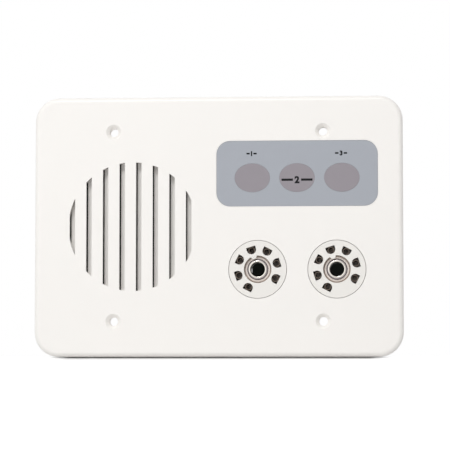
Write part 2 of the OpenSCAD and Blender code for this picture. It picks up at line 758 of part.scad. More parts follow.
module jack_break_contact(side) color([0.8, 0.65, 0.35]) at_socket(side) difference() {
  union() {
    leaf_side(leaf_w) stripe(break_start, stack_end, break_drop, leaf_t);
    mirror([1, 0, 0]) lug(break_drop);
  }
  at_stack_screws() disc(stack_hole_d / 2, break_drop - over, break_drop + over);
}
module jack_tip_spring(side) color([0.8, 0.65, 0.35]) at_socket(side) difference() {
  union() {
    leaf_side(leaf_w) polygon([
      [stack_end, spring_drop + leaf_t / 2], [stack_end, spring_drop - leaf_t / 2],
      [stack_depth, spring_drop - leaf_t / 2], [bend_depth, bend_drop - leaf_t / 2],
      [bend_depth - spring_tail_out, spring_tail_drop],
      [bend_depth - spring_tail_out + leaf_t, spring_tail_drop],
      [bend_depth, bend_drop + leaf_t / 2], [stack_depth - leaf_t, spring_drop + leaf_t / 2]
    ]);
    lug(spring_drop);
  }
  at_stack_screws() disc(stack_hole_d / 2, spring_drop - over, spring_drop + over);
}
module jack_stack_screws(side) color("silver") at_socket(side) at_stack_screws() {
  disc(stack_screw_head_d / 2, stack_top - stack_screw_head_h, stack_top);
  disc(stack_screw_d / 2, stack_top, shelf_drop + frame_t + stack_screw_out);
}
module socket_screws() color("silver")
  at_sockets() at_ears() translate([0, 0, z_ear - ear_t]) small_screw(socket_screw_l);

// Circuit board and what stands on it
module main_board() color([0.05, 0.35, 0.2]) difference() {
  at_board() slab(z_board_back, z_board) rounded_rect(board_w, board_h, board_r);
  at_board() at_posts() disc(small_clear_d / 2, z_board_back - over, z_board + over);
  at_sockets() disc(jack_window_d / 2, z_board_back - over, z_board + over);
  at_sockets() at_wells() translate([tail_r - contact_ring_r, 0, 0])
    disc(tail_hole_d / 2, z_board_back - over, z_board + over);
}
module board_screws() color("silver")
  at_board() at_posts() translate([0, 0, z_board_back]) small_screw(board_screw_l);
module at_terminals() at_board() for (i = [0 : block_count - 1])
  translate([(i - (block_count - 1) / 2) * block_pitch, block_y, 0]) children();
module terminal_block() color([0.1, 0.45, 0.25]) difference() {
  at_board() translate([0, block_y, 0]) block([block_count * block_pitch, block_w, block_h], z_block);
  at_terminals() disc(block_well_d / 2, z_block - over, z_block + block_well_h);
  at_terminals() translate([0, block_w / 2, 0])
    block([block_window_w, 2 * block_window_l, block_window_h], z_window);
}
module terminal_screws() color("silver") at_terminals()
  translate([0, 0, z_block + block_well_h]) difference() {
    disc(block_screw_d / 2, -block_screw_h, 0);
    block([block_screw_d + over, block_slot_w, block_slot_h + over], -block_screw_h - over);
  }
module relay() color([0.1, 0.25, 0.5]) at_board() translate([relay_place[0], relay_place[1], 0]) {
  block(relay_size - [0, 0, relay_bevel], z_board_back - relay_size[2] + relay_bevel);
  block(
    [relay_size[0] - 2 * relay_bevel, relay_size[1] - 2 * relay_bevel, relay_bevel],
    z_board_back - relay_size[2]
  );
}
module chip(size, place) translate([place[0], place[1], 0]) block(size, z_board_back - size[2]);
module chips() color([0.12, 0.12, 0.13]) at_board() {
  chip(large_chip_size, large_chip_place);
  chip(small_chip_size, small_chip_place);
}
module capacitor(d, h) {
  disc(d / 2, z_board_back - h, z_board_back - cap_groove_z - cap_groove_h);
  disc(d / 2 - cap_bead, z_board_back - cap_groove_z - cap_groove_h - over, z_board_back);
  disc(d / 2, z_board_back - cap_groove_z, z_board_back);
}
module capacitors() color([0.15, 0.15, 0.25]) at_board() {
  translate([large_cap_place[0], large_cap_place[1], 0]) capacitor(large_cap_d, large_cap_h);
  translate([small_cap_place[0], small_cap_place[1], 0]) capacitor(small_cap_d, small_cap_h);
}
module resistors() color([0.1, 0.1, 0.1]) at_board() for (i = [0 : resistor_count - 1])
  translate([(i - (resistor_count - 1) / 2) * resistor_pitch, resistor_y, 0])
    block(resistor_size, z_board_back - resistor_size[2]);
module at_header() at_board() translate([header_place[0], header_place[1], 0]) children();
header_hole = [header_size[0] - 2 * header_wall, header_size[1] - 2 * header_wall];
module speaker_header() color("ivory") at_header() difference() {
  block(header_size, z_board_back - header_size[2]);
  block([header_hole[0], header_hole[1], header_size[2]], z_board_back - header_size[2] - header_floor);
}
module speaker_plug() color("ivory") at_header() block(
  [header_hole[0] - 2 * fit_gap, header_hole[1] - 2 * fit_gap, header_size[2] - header_floor + plug_out],
  z_board_back - header_size[2] - plug_out
);

// Leads: a round tube swept along a smooth curve through the route's points
function blend(a, b, c, d, t) = (
  2 * b + (c - a) * t + (2 * a - 5 * b + 4 * c - d) * t * t + (3 * b - a - 3 * c + d) * t * t * t
) / 2;
function smooth(p) = [
  for (i = [0 : len(p) - 2], k = [0 : lead_steps - 1])
    blend(
      i == 0 ? 2 * p[0] - p[1] : p[i - 1], p[i], p[i + 1],
      i + 2 < len(p) ? p[i + 2] : 2 * p[i + 1] - p[i], k / lead_steps
    ),
  p[len(p) - 1]
];
function unit(v) = v / norm(v);
function along(p, i) = unit(p[min(i + 1, len(p) - 1)] - p[max(i - 1, 0)]);
function ring_points(p, i) = let (
  across = unit(cross(along(p, i), [0, 1, 0])),
  up = cross(across, along(p, i))
) [
  for (k = [0 : lead_sides - 1])
    p[i] + lead_d / 2 * (cos(k * 360 / lead_sides) * across + sin(k * 360 / lead_sides) * up)
];
module lead(route) {
  p = smooth(route);
  n = lead_sides;
  polyhedron(
    points = [for (i = [0 : len(p) - 1]) each ring_points(p, i)],
    faces = concat(
      [[for (k = [0 : n - 1]) k]],
      [for (i = [0 : len(p) - 2], k = [0 : n - 1])
        [i * n + k, (i + 1) * n + k, (i + 1) * n + (k + 1) % n, i * n + (k + 1) % n]],
      [[for (k = [n - 1 : -1 : 0]) (len(p) - 1) * n + k]]
    )
  );
}

facing() face_plate();
facing() grille_guard();
facing() overlay();
facing() key(-1);  // call_key_left
facing() key(0);  // cancel_key
facing() key(1);  // call_key_right
facing() plunger(-1);  // plunger_left
facing() plunger(0);  // plunger_middle
facing() plunger(1);  // plunger_right
facing() speaker_gasket();
facing() speaker_basket();
facing() speaker_surround();
facing() speaker_cone();
facing() dust_cap();
facing() voice_coil();
facing() speaker_spider();
facing() speaker_top_plate();
facing() speaker_magnet();
facing() speaker_yoke();
facing() speaker_terminal_strip();
facing() speaker_tags();
facing() speaker_clamps();
facing() clamp_screws();
facing() socket_body(-1);  // socket_body_left
facing() socket_body(1);  // socket_body_right
facing() socket_contacts(-1);  // socket_contacts_left
facing() socket_contacts(1);  // socket_contacts_right
facing() jack_sleeve(-1);  // jack_sleeve_left
facing() jack_sleeve(1);  // jack_sleeve_right
facing() jack_nut(-1);  // jack_nut_left
facing() jack_nut(1);  // jack_nut_right
facing() jack_frame(-1);  // jack_frame_left
facing() jack_frame(1);  // jack_frame_right
facing() jack_insulators(-1);  // jack_insulators_left
facing() jack_insulators(1);  // jack_insulators_right
facing() jack_break_contact(-1);  // jack_break_contact_left
facing() jack_break_contact(1);  // jack_break_contact_right
facing() jack_tip_spring(-1);  // jack_tip_spring_left
facing() jack_tip_spring(1);  // jack_tip_spring_right
facing() jack_stack_screws(-1);  // jack_stack_screws_left
facing() jack_stack_screws(1);  // jack_stack_screws_right
facing() socket_screws();
facing() main_board();
facing() board_screws();
facing() switch_housings();
facing() key_lamps();
facing() terminal_block();
facing() terminal_screws();
facing() relay();
facing() chips();
facing() capacitors();
facing() resistors();
facing() speaker_header();
facing() speaker_plug();
facing() lead(red_route);  // lead_red
facing() lead(black_route);  // lead_black
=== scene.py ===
import json
import math

import bmesh
import bpy
from bpy.props import FloatProperty, FloatVectorProperty, PointerProperty
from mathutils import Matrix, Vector

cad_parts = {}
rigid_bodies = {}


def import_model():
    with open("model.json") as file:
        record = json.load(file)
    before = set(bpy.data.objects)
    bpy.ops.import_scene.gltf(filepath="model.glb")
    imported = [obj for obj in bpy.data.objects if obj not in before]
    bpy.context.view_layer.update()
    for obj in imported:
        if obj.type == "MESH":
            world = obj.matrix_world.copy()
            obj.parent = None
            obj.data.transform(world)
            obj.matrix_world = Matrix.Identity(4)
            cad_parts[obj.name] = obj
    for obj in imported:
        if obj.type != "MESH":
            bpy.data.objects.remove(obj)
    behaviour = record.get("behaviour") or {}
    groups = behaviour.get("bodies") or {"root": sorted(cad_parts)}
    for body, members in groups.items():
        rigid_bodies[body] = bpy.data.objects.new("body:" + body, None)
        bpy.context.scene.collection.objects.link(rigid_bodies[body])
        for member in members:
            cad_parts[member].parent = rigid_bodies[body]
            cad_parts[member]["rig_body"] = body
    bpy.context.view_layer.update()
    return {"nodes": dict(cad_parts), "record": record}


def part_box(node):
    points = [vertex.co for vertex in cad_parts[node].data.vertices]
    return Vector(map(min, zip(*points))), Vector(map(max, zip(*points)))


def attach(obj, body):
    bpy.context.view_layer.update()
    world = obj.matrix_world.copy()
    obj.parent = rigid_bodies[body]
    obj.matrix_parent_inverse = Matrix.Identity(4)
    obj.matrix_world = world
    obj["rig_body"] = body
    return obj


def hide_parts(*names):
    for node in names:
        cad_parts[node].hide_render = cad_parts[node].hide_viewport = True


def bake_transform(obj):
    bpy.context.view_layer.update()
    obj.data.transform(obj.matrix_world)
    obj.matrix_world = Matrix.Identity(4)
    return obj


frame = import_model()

bl_info = {
    "name": "Patient station looks",
    "version": (1, 0, 0),
    "blender": (4, 5, 0),
    "location": "View3D > Sidebar > Station",
    "description": "Dresses the packed model of a patient's wall station and sets its stage",
    "category": "Object",
}

# The millimetre that all sizes below are given in
MM = 0.001

# Pieces are modelled in the panel frame: x to the right, y up, z out of the wall to the room.
# A quarter turn about x then stands them up, as it does in the part's source.
UPRIGHT = (math.pi / 2, 0, 0)

# In a packed solid, points closer than the first are one, and what is thinner than the second, in
# millimetres, is a sliver. Facets that meet within the third are one, and edges past the fourth are rounded.
WELD, SLIVER = 0.002 * MM, 0.2
FLAT, SHARP = math.radians(0.5), math.radians(40)

# A wave texture of scale 1 repeats after this length
WAVE = 0.314

SLOTS = {entry["node"]: entry["material_slot"] for entry in frame["record"]["subparts"]}
KEYS = ("call_key_left", "cancel_key", "call_key_right")
SIDES = ("left", "right")
FINISHES = {}


def linear(code):
    """Linear values of a colour that is given by its sRGB hex code."""
    shares = [int(code[i:i + 2], 16) / 255 for i in (1, 3, 5)]
    return [v / 12.92 if v <= 0.04045 else ((v + 0.055) / 1.055) ** 2.4 for v in shares] + [1.0]


def tint(name, description, code):
    """A colour that the user can change."""
    return FloatVectorProperty(
        name=name, description=description, subtype="COLOR", size=4, min=0, max=1, default=linear(code))


def span(name, description, value):
    """A length that the user can change, given in millimetres."""
    return FloatProperty(name=name, description=description, unit="LENGTH", min=0, default=value * MM)


class StationColours(bpy.types.PropertyGroup):
    """Colours of the finishes"""
    plate: tint("Face plate", "Moulded plastic of the face plate and guard", "#FAF7F3")
    socket: tint("Sockets", "Moulded plastic of the socket discs", "#F1EEE9")
    # The recess and groove tones are painted shade, drawn where the shade falls down in each socket
    recess: tint("Recess", "Warmer tone in the sockets' recesses", "#E9DFD8")
    groove: tint("Groove", "Dull tone at the bottom of the groove round each jack", "#D2C4B9")
    film: tint("Overlay", "Printed film round the keys", "#A5A9B1")
    keys: tint("Keys", "Moulded plastic of the three keys", "#969096")
    ink: tint("Marks", "Ink of the marks on the film and the middle key", "#101114")
    board: tint("Board", "Solder mask of the circuit board", "#1F5B38")
    block: tint("Terminal block", "Moulded polyamide of the terminal block", "#2E8A4A")
    relay: tint("Relay", "Moulded case of the relay", "#234C93")
    red_lead: tint("Red lead", "Sleeve of the red lead", "#B3161B")
    black_lead: tint("Black lead", "Sleeve of the black lead", "#17181A")
    cone: tint("Cone", "Pressed paper of the speaker's cone", "#2A2724")


class StationSizes(bpy.types.PropertyGroup):
    """Small sizes that only show in the picture"""
    plate_edge: span("Plate edge", "Rounding of the plate's cut edges", 0.2)
    film_edge: span("Film edge", "Rounding of the film's cut edges", 0.03)
    key_edge: span("Key edge", "Rounding of the keys' edges", 0.06)
    socket_edge: span("Socket edge", "Rounding of the socket discs' edges", 0.18)
    web_w: span("Web", "Width of the film's web round each key", 0.11)
    metal_edge: span("Metal edge", "Rounding of stamped and turned metal", 0.08)
    mark_h: span("Mark", "Height of the marks over the outer keys", 2.2)
    middle_mark_h: span("Middle mark", "Height of the mark on the middle key", 3.2)
    track_w: span("Track", "Width of the board's copper tracks", 0.7)


class StationStage(bpy.types.PropertyGroup):
    """Camera and lamps"""
    lens: FloatProperty(name="Lens", description="Focal length in millimetres", default=180, min=50)
    distance: span("Distance", "From the camera to the point that it looks at", 985)
    azimuth: FloatProperty(
        name="Azimuth", description="Turn of the camera to the right of the face", subtype="ANGLE",
        default=math.radians(4.04))
    elevation: FloatProperty(
        name="Elevation", description="Height of the camera over the face's middle", subtype="ANGLE",
        default=math.radians(-4.06))
    key_power: FloatProperty(
        name="Key lamp", description="Power of the lamp above", unit="POWER", default=4.9)
    fill_power: FloatProperty(
        name="Fill lamp", description="Power of the lamp at the left", unit="POWER", default=4.2)
    ambient: FloatProperty(name="Ambient", description="Strength of the light from all sides", default=0.54)


# Working by hand: selections, primitives, copies and the last steps of a piece

def settle(*objects):
    """Leaves edit mode and selects just these objects, the first of them active."""
    if bpy.context.mode != "OBJECT":
        bpy.ops.object.mode_set(mode="OBJECT")
    bpy.ops.object.select_all(action="DESELECT")
    for one in objects:
        one.select_set(True)
    if objects:
        bpy.context.view_layer.objects.active = objects[0]


def applied(*objects):
    """Writes the place, turn and scale of pieces into their meshes."""
    settle(*objects)
    bpy.ops.object.transform_apply()
    return objects[0]


def put(obj, place, turn=0.0, scale=(1, 1, 1)):
    """Stretches and turns a piece that was modelled at the origin, and moves it to its place."""
    obj.location = Vector(place) * MM
    obj.rotation_euler.z = math.radians(turn)
    obj.scale = scale
    return applied(obj)


def choose(obj, kind, test=lambda item: True):
    """Opens a piece in edit mode with just the faces or edges that pass the test selected."""
    settle(obj)
    bpy.ops.object.mode_set(mode="EDIT")
    bpy.ops.mesh.select_mode(type=kind[:-1].upper())
    bpy.ops.mesh.select_all(action="DESELECT")
    shape = bmesh.from_edit_mesh(obj.data)
    for item in getattr(shape, kind):
        if test(item):
            item.select_set(True)
    bmesh.update_edit_mesh(obj.data)


def pull(x, y, z):
    """Extrudes what is selected by so many millimetres."""
    bpy.ops.mesh.extrude_region_move(TRANSFORM_OT_translate={"value": (x * MM, y * MM, z * MM)})


def face_out(obj):
    """Turns the faces of the piece that is being shaped outwards, and leaves edit mode."""
    bpy.ops.mesh.select_all(action="SELECT")
    bpy.ops.mesh.normals_make_consistent(inside=False)
    settle(obj)
    return obj


def block(size, place=(0, 0, 0), edge=0.0, segments=2):
    """A block round a place, with all its edges rounded."""
    settle()
    bpy.ops.mesh.primitive_cube_add(size=1, location=Vector(place) * MM, scale=Vector(size) * MM)
    obj = applied(bpy.context.object)
    if edge:
        choose(obj, "edges")
        bpy.ops.mesh.bevel(offset=edge * MM, segments=segments, affect="EDGES")
        settle(obj)
    return obj


def turned(profile, place=(0, 0), sides=32):
    """A round piece, drawn up ring by ring from a disc through the radii and levels of its profile."""
    settle()
    (radius, level), *rest = profile
    centre = Vector((*place, 0)) * MM
    bpy.ops.mesh.primitive_circle_add(
        vertices=sides, radius=radius * MM, fill_type="NGON", location=centre + Vector((0, 0, level * MM)))
    obj = applied(bpy.context.object)
    choose(obj, "faces")
    for next_radius, next_level in rest:
        pull(0, 0, next_level - level)
        share = next_radius / radius
        bpy.ops.transform.resize(value=(share, share, 1), center_override=centre)
        radius, level = next_radius, next_level
    return face_out(obj)


def pierce(obj):
    """Opens a round piece from its first disc to its last, so that it becomes a tube."""
    choose(obj, "faces", lambda face: len(face.verts) > 4)
    bpy.ops.mesh.delete(type="ONLY_FACE")
    choose(obj, "edges", lambda edge: edge.is_boundary)
    bpy.ops.mesh.bridge_edge_loops()
    return face_out(obj)


def hoop(radius, thickness, place, flat=1.0):
    """A thin ring round a place, round in section or pressed flat."""
    settle()
    bpy.ops.mesh.primitive_torus_add(
        major_radius=radius * MM, minor_radius=thickness / 2 * MM, major_segments=64, minor_segments=8)
    return put(bpy.context.object, place, scale=(1, 1, flat))


def linked(data):
    """A new object in the scene for a mesh or a curve."""
    obj = bpy.data.objects.new("piece", data)
    bpy.context.collection.objects.link(obj)
    return obj


def strand(points, thickness, flat=1.0, level=0.0, soft=False, closed=False):
    """A closed tube through points, or a track on a level where it is pressed flat."""
    settle()
    route = bpy.data.curves.new("strand", "CURVE")
    route.dimensions = "3D"
    route.bevel_depth = thickness / 2 * MM
    route.bevel_resolution = 3
    route.use_fill_caps = True
    line = route.splines.new("BEZIER" if soft else "POLY")
    knots = line.bezier_points if soft else line.points
    knots.add(len(points) - 1)
    for knot, point in zip(knots, points):
        spot = Vector((*point, 0)[:3]) * MM
        if soft:
            knot.co = spot
            knot.handle_left_type = knot.handle_right_type = "AUTO"
        else:
            knot.co = (*spot, 1)
    line.resolution_u = 6
    line.use_cyclic_u = closed
    settle(linked(route))
    bpy.ops.object.convert(target="MESH")
    return put(bpy.context.object, (0, 0, level), scale=(1, 1, flat))


def join(*objects):
    """Joins pieces into the first of them."""
    settle(*objects)
    if len(objects) > 1:
        bpy.ops.object.join()
    return bpy.context.object


def repeat(obj, places):
    """Sets a piece that was modelled at the origin at each place and turn, as copies joined to one."""
    twins = [obj] + [linked(obj.data.copy()) for _ in places[1:]]
    for twin, (*place, turn) in zip(twins, places):
        twin.location = Vector(place) * MM
        twin.rotation_euler.z = math.radians(turn)
    applied(*twins)
    return join(*twins)


def stand(obj):
    """Turns a piece from the panel frame to the upright frame."""
    obj.rotation_euler = UPRIGHT
    return applied(obj)


def modify(obj, kind, **settings):
    """Gives a piece a modifier with its settings, and applies it."""
    settle(obj)
    made = obj.modifiers.new(kind.lower(), kind)
    for key, value in settings.items():
        setattr(made, key, value)
    bpy.ops.object.modifier_apply(modifier=made.name)


def cut(obj, tool):
    """Cuts one piece out of another."""
    modify(obj, "BOOLEAN", operation="DIFFERENCE", solver="EXACT", object=tool)
    bpy.data.objects.remove(tool)


def place_piece(obj, name, finish, nodes=(), smooth=45, upright=True, body="station"):
    """Stands a piece up, names it, shades it, gives it its finish and says what it rides on."""
    obj.name = obj.data.name = name
    settle(stand(obj) if upright else obj)
    bpy.ops.object.shade_smooth_by_angle(angle=math.radians(smooth))
    obj.data.materials.clear()
    obj.data.materials.append(FINISHES[finish])
    if nodes:
        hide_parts(*nodes)
    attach(obj, body)
    return obj


def refinish(obj, finish, test):
    """Gives another finish to the faces of an upright piece whose middles pass a test in the panel frame."""
    obj.data.materials.append(FINISHES[finish])
    choose(obj, "faces", lambda face: test(panel(face.calc_center_median())))
    obj.active_material_index = len(obj.data.materials) - 1
    bpy.ops.object.material_slot_assign()
    settle(obj)


def dress(node, name, edge, segments=2):
    """A copy of a CAD solid with its facets joined and its sharp edges rounded, which stands for it."""
    source = frame["nodes"][node]
    obj = linked(source.data.copy())
    choose(obj, "faces")
    bpy.ops.mesh.remove_doubles(threshold=WELD)
    bpy.ops.mesh.dissolve_limited(angle_limit=FLAT)
    modify(obj, "BEVEL", width=edge, segments=segments, limit_method="ANGLE", angle_limit=SHARP)
    place_piece(obj, name, SLOTS[node], (node,), 50, False, source["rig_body"])
    modify(obj, "WEIGHTED_NORMAL", keep_sharp=True)
    return obj


# Reading the packed solids: each detail below takes its place from the solid that carries it

def panel(point):
    """A point of the upright frame in the panel frame, in millimetres."""
    return Vector((point.x, point.z, -point.y)) / MM


def extent(points):
    """Lowest corner, highest corner and middle of a set of points."""
    low = Vector([min(axis) for axis in zip(*points)])
    high = Vector([max(axis) for axis in zip(*points)])
    return low, high, (low + high) / 2


def sizes_of(node):
    """Lowest corner, highest corner and middle of a whole CAD node in the panel frame."""
    return extent([panel(corner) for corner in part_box(node)])


def solids(node):
    """The points of each separate solid of a CAD node, in the panel frame, from left to right."""
    shape = bmesh.new()
    shape.from_mesh(frame["nodes"][node].data)
    bmesh.ops.remove_doubles(shape, verts=shape.verts, dist=WELD)
    left, found = set(shape.verts), []
    while left:
        waiting, points = [left.pop()], []
        while waiting:
            vertex = waiting.pop()
            points.append(panel(vertex.co))
            for edge in vertex.link_edges:
                other = edge.other_vert(vertex)
                if other in left:
                    left.remove(other)
                    waiting.append(other)
        found.append(points)
    shape.free()
    whole = [points for points in found if min(extent(points)[1] - extent(points)[0]) > SLIVER]
    return sorted(whole, key=lambda points: tuple(extent(points)[2]))


def off_axis(point, axis):
    """How far a point lies from an axis that runs out of the wall."""
    return math.hypot(point.x - axis.x, point.y - axis.y)


def contact_tails():
    """The spots where the tails of the sockets' contacts come through the board."""
    found = []
    for side in SIDES:
        for contact in solids("socket_contacts_" + side):
            tip = min(point.z for point in contact)
            found.append(extent([point for point in contact if point.z < tip + 0.3])[2])
    return found


# Materials: one function adds a node, and each finish below starts from a real material

def add(tree, kind, inputs=None, **settings):
    """Adds one node with its settings. An input takes a value, a socket, or a node's first output."""
    made = tree.nodes.new("ShaderNode" + kind)
    for key, value in settings.items():
        setattr(made, key, value)
    for key, value in (inputs or {}).items():
        if isinstance(value, bpy.types.Node):
            value = value.outputs[0]
        if isinstance(value, bpy.types.NodeSocket):
            tree.links.new(value, made.inputs[key])
        else:
            made.inputs[key].default_value = value
    return made


def finish(recipe):
    """Makes a recipe a function that gives the whole material. Its colours may be sRGB hex codes."""
    def make(name, *values, **shader):
        made = bpy.data.materials.new(name)
        made.use_nodes = True
        tree = made.node_tree
        tree.nodes.clear()
        place = add(tree, "TexCoord").outputs["Object"]
        recipe(tree, place, *[linear(one) if isinstance(one, str) else one for one in values], **shader)
        return made
    return make


def close(tree, share, low, high, rough, height=None, depth=0.0, **shader):
    """Adds the tone between two colours, the relief, so many millimetres deep, the shader and the output.
    In the names of the shader's other inputs, _ stands for a space."""
    inputs = {key.replace("_", " "): value for key, value in shader.items()}
    tone = add(tree, "Mix", {0: share, 6: low, 7: high}, data_type="RGBA")
    inputs.update({"Base Color": tone.outputs[2], "Roughness": rough})
    if height is not None:
        inputs["Normal"] = add(tree, "Bump", {"Height": height, "Distance": depth * MM})
    add(tree, "OutputMaterial", {"Surface": add(tree, "BsdfPrincipled", inputs)})


def per(size):
    """The scale of a pattern with features of a size in millimetres."""
    return 1 / (size * MM)


def toned(colour, share):
    """A colour made lighter or darker by a share."""
    return [min(1, c * (1 + share)) for c in colour[:3]] + [1.0]


@finish
def surface(tree, place, colour, cloud, shade, grain, depth, rough, spread, metallic=0.0, stretch=(1, 1, 1),
            **shader):
    """A finish with a cloudy tone, a fine grain in its relief and a gloss that varies with the grain.
    cloud, grain and depth are millimetres, and stretch draws the grain out across an axis."""
    drawn = add(tree, "Mapping", {"Vector": place, "Scale": stretch})
    clouds = add(tree, "TexNoise", {"Vector": place, "Scale": per(cloud), "Detail": 3.0})
    grains = add(tree, "TexNoise", {"Vector": drawn, "Scale": per(grain), "Detail": 4.0})
    gloss = add(tree, "MapRange", {"Value": grains, 3: rough - spread, 4: rough + spread})
    close(tree, clouds, toned(colour, -shade), toned(colour, shade), gloss, grains, depth,
          Metallic=metallic, **shader)


@finish
def socket_plastic(tree, place, colour, recess, groove):
    """Injection-moulded polycarbonate: even and slightly glossy, with painted shade that makes it warmer in
    its recess and darker in its groove.
    """
    depth = add(tree, "SeparateXYZ", {"Vector": place}).outputs["Y"]
    # How far behind the face, which stands 7 mm out of the wall, each band of painted shade begins and is
    # full
    face = 7
    recess_shade_share, dull = [
        add(tree, "MapRange", {"Value": depth, 1: (start - face) * MM, 2: (full - face) * MM})
        for start, full in ((0.6, 1.6), (2, 2.8))]
    tone = add(tree, "Mix", {0: recess_shade_share, 6: colour, 7: recess}, data_type="RGBA")
    # Spark-eroded grain of about 0.3 mm, drawn at 0.5 mm so that it shows
    grains = add(tree, "TexNoise", {"Vector": place, "Scale": per(0.5), "Detail": 3.0})
    gloss = add(tree, "MapRange", {"Value": grains, 3: 0.3, 4: 0.4})
    close(tree, dull, tone.outputs[2], groove, gloss, grains, 0.004, IOR=1.58)


@finish
def woven(tree, place, colour, thread, dark, light, depth, rough, **shader):
    """A square weave of threads across the panel, dark in its gaps and light on its crossings."""
    across, up = [
        add(tree, "TexWave", {"Vector": place, "Scale": WAVE * per(thread), "Distortion": 0.5},
            bands_direction=axis).outputs["Fac"] for axis in ("X", "Z")]
    weave = add(tree, "Math", {0: across, 1: up}, operation="MAXIMUM")
    clouds = add(tree, "TexNoise", {"Vector": place, "Scale": per(8)})
    blend = add(tree, "Math", {0: weave, 1: clouds}, operation="MULTIPLY")
    close(tree, blend, toned(colour, -dark), toned(colour, light), rough, weave, depth, **shader)


@finish
def foam(tree, place, colour):
    """Closed-cell foam: matt, with cells of about 0.4 mm that open at its cut sides."""
    cells = add(tree, "TexVoronoi", {"Vector": place, "Scale": per(0.45)})
    close(tree, cells, toned(colour, -0.4), toned(colour, 0.6), 0.92, cells, 0.08, IOR=1.4)


@finish
def ringed(tree, place, colour, ring, centre, shade, depth, rough, kind="RINGS", **shader):
    """A finish with rings round the speaker's axis, or with turns along it, over a fibrous grain."""
    centred = add(tree, "Mapping", {"Vector": place, "Location": (-centre.x, 0, -centre.y)})
    rings = add(tree, "TexWave", {"Vector": centred, "Scale": WAVE * per(ring)}, wave_type=kind,
                rings_direction="Y", bands_direction="Y").outputs["Fac"]
    fibres = add(tree, "TexNoise", {"Vector": place, "Scale": per(0.6), "Detail": 8.0})
    heights = add(tree, "Math", {0: rings, 1: 0.7, 2: fibres}, operation="MULTIPLY_ADD")
    close(tree, heights, toned(colour, -shade), toned(colour, shade), rough, heights, depth, **shader)


@finish
def laminate(tree, place, colour):
    """Punched phenolic paper: brown, in thin layers across its thickness, with a dull sheen."""
    layers = add(tree, "TexWave", {"Vector": place, "Scale": WAVE * per(0.3), "Distortion": 2.0},
                 bands_direction="DIAGONAL").outputs["Fac"]
    close(tree, layers, toned(colour, -0.3), toned(colour, 0.25), 0.5, layers, 0.01, IOR=1.6)


@finish
def zinc(tree, place, pale, straw):
    """Zinc-plated steel, passivated: bright and bluish, with patches of straw tone 1.5 mm wide."""
    patches = add(tree, "TexNoise", {"Vector": place, "Scale": per(1.5), "Detail": 5.0})
    gloss = add(tree, "MapRange", {"Value": patches, 3: 0.22, 4: 0.42})
    fine = add(tree, "TexNoise", {"Vector": place, "Scale": per(0.2)})
    close(tree, patches, pale, straw, gloss, fine, 0.004, Metallic=1.0)


@finish
def lens(tree, place, colour):
    """Cast epoxy of a small lamp: milky and clear, with a soft gloss."""
    clouds = add(tree, "TexNoise", {"Vector": place, "Scale": per(1.2)})
    close(tree, clouds, toned(colour, -0.08), toned(colour, 0.05), 0.12, IOR=1.5, Transmission_Weight=0.55)


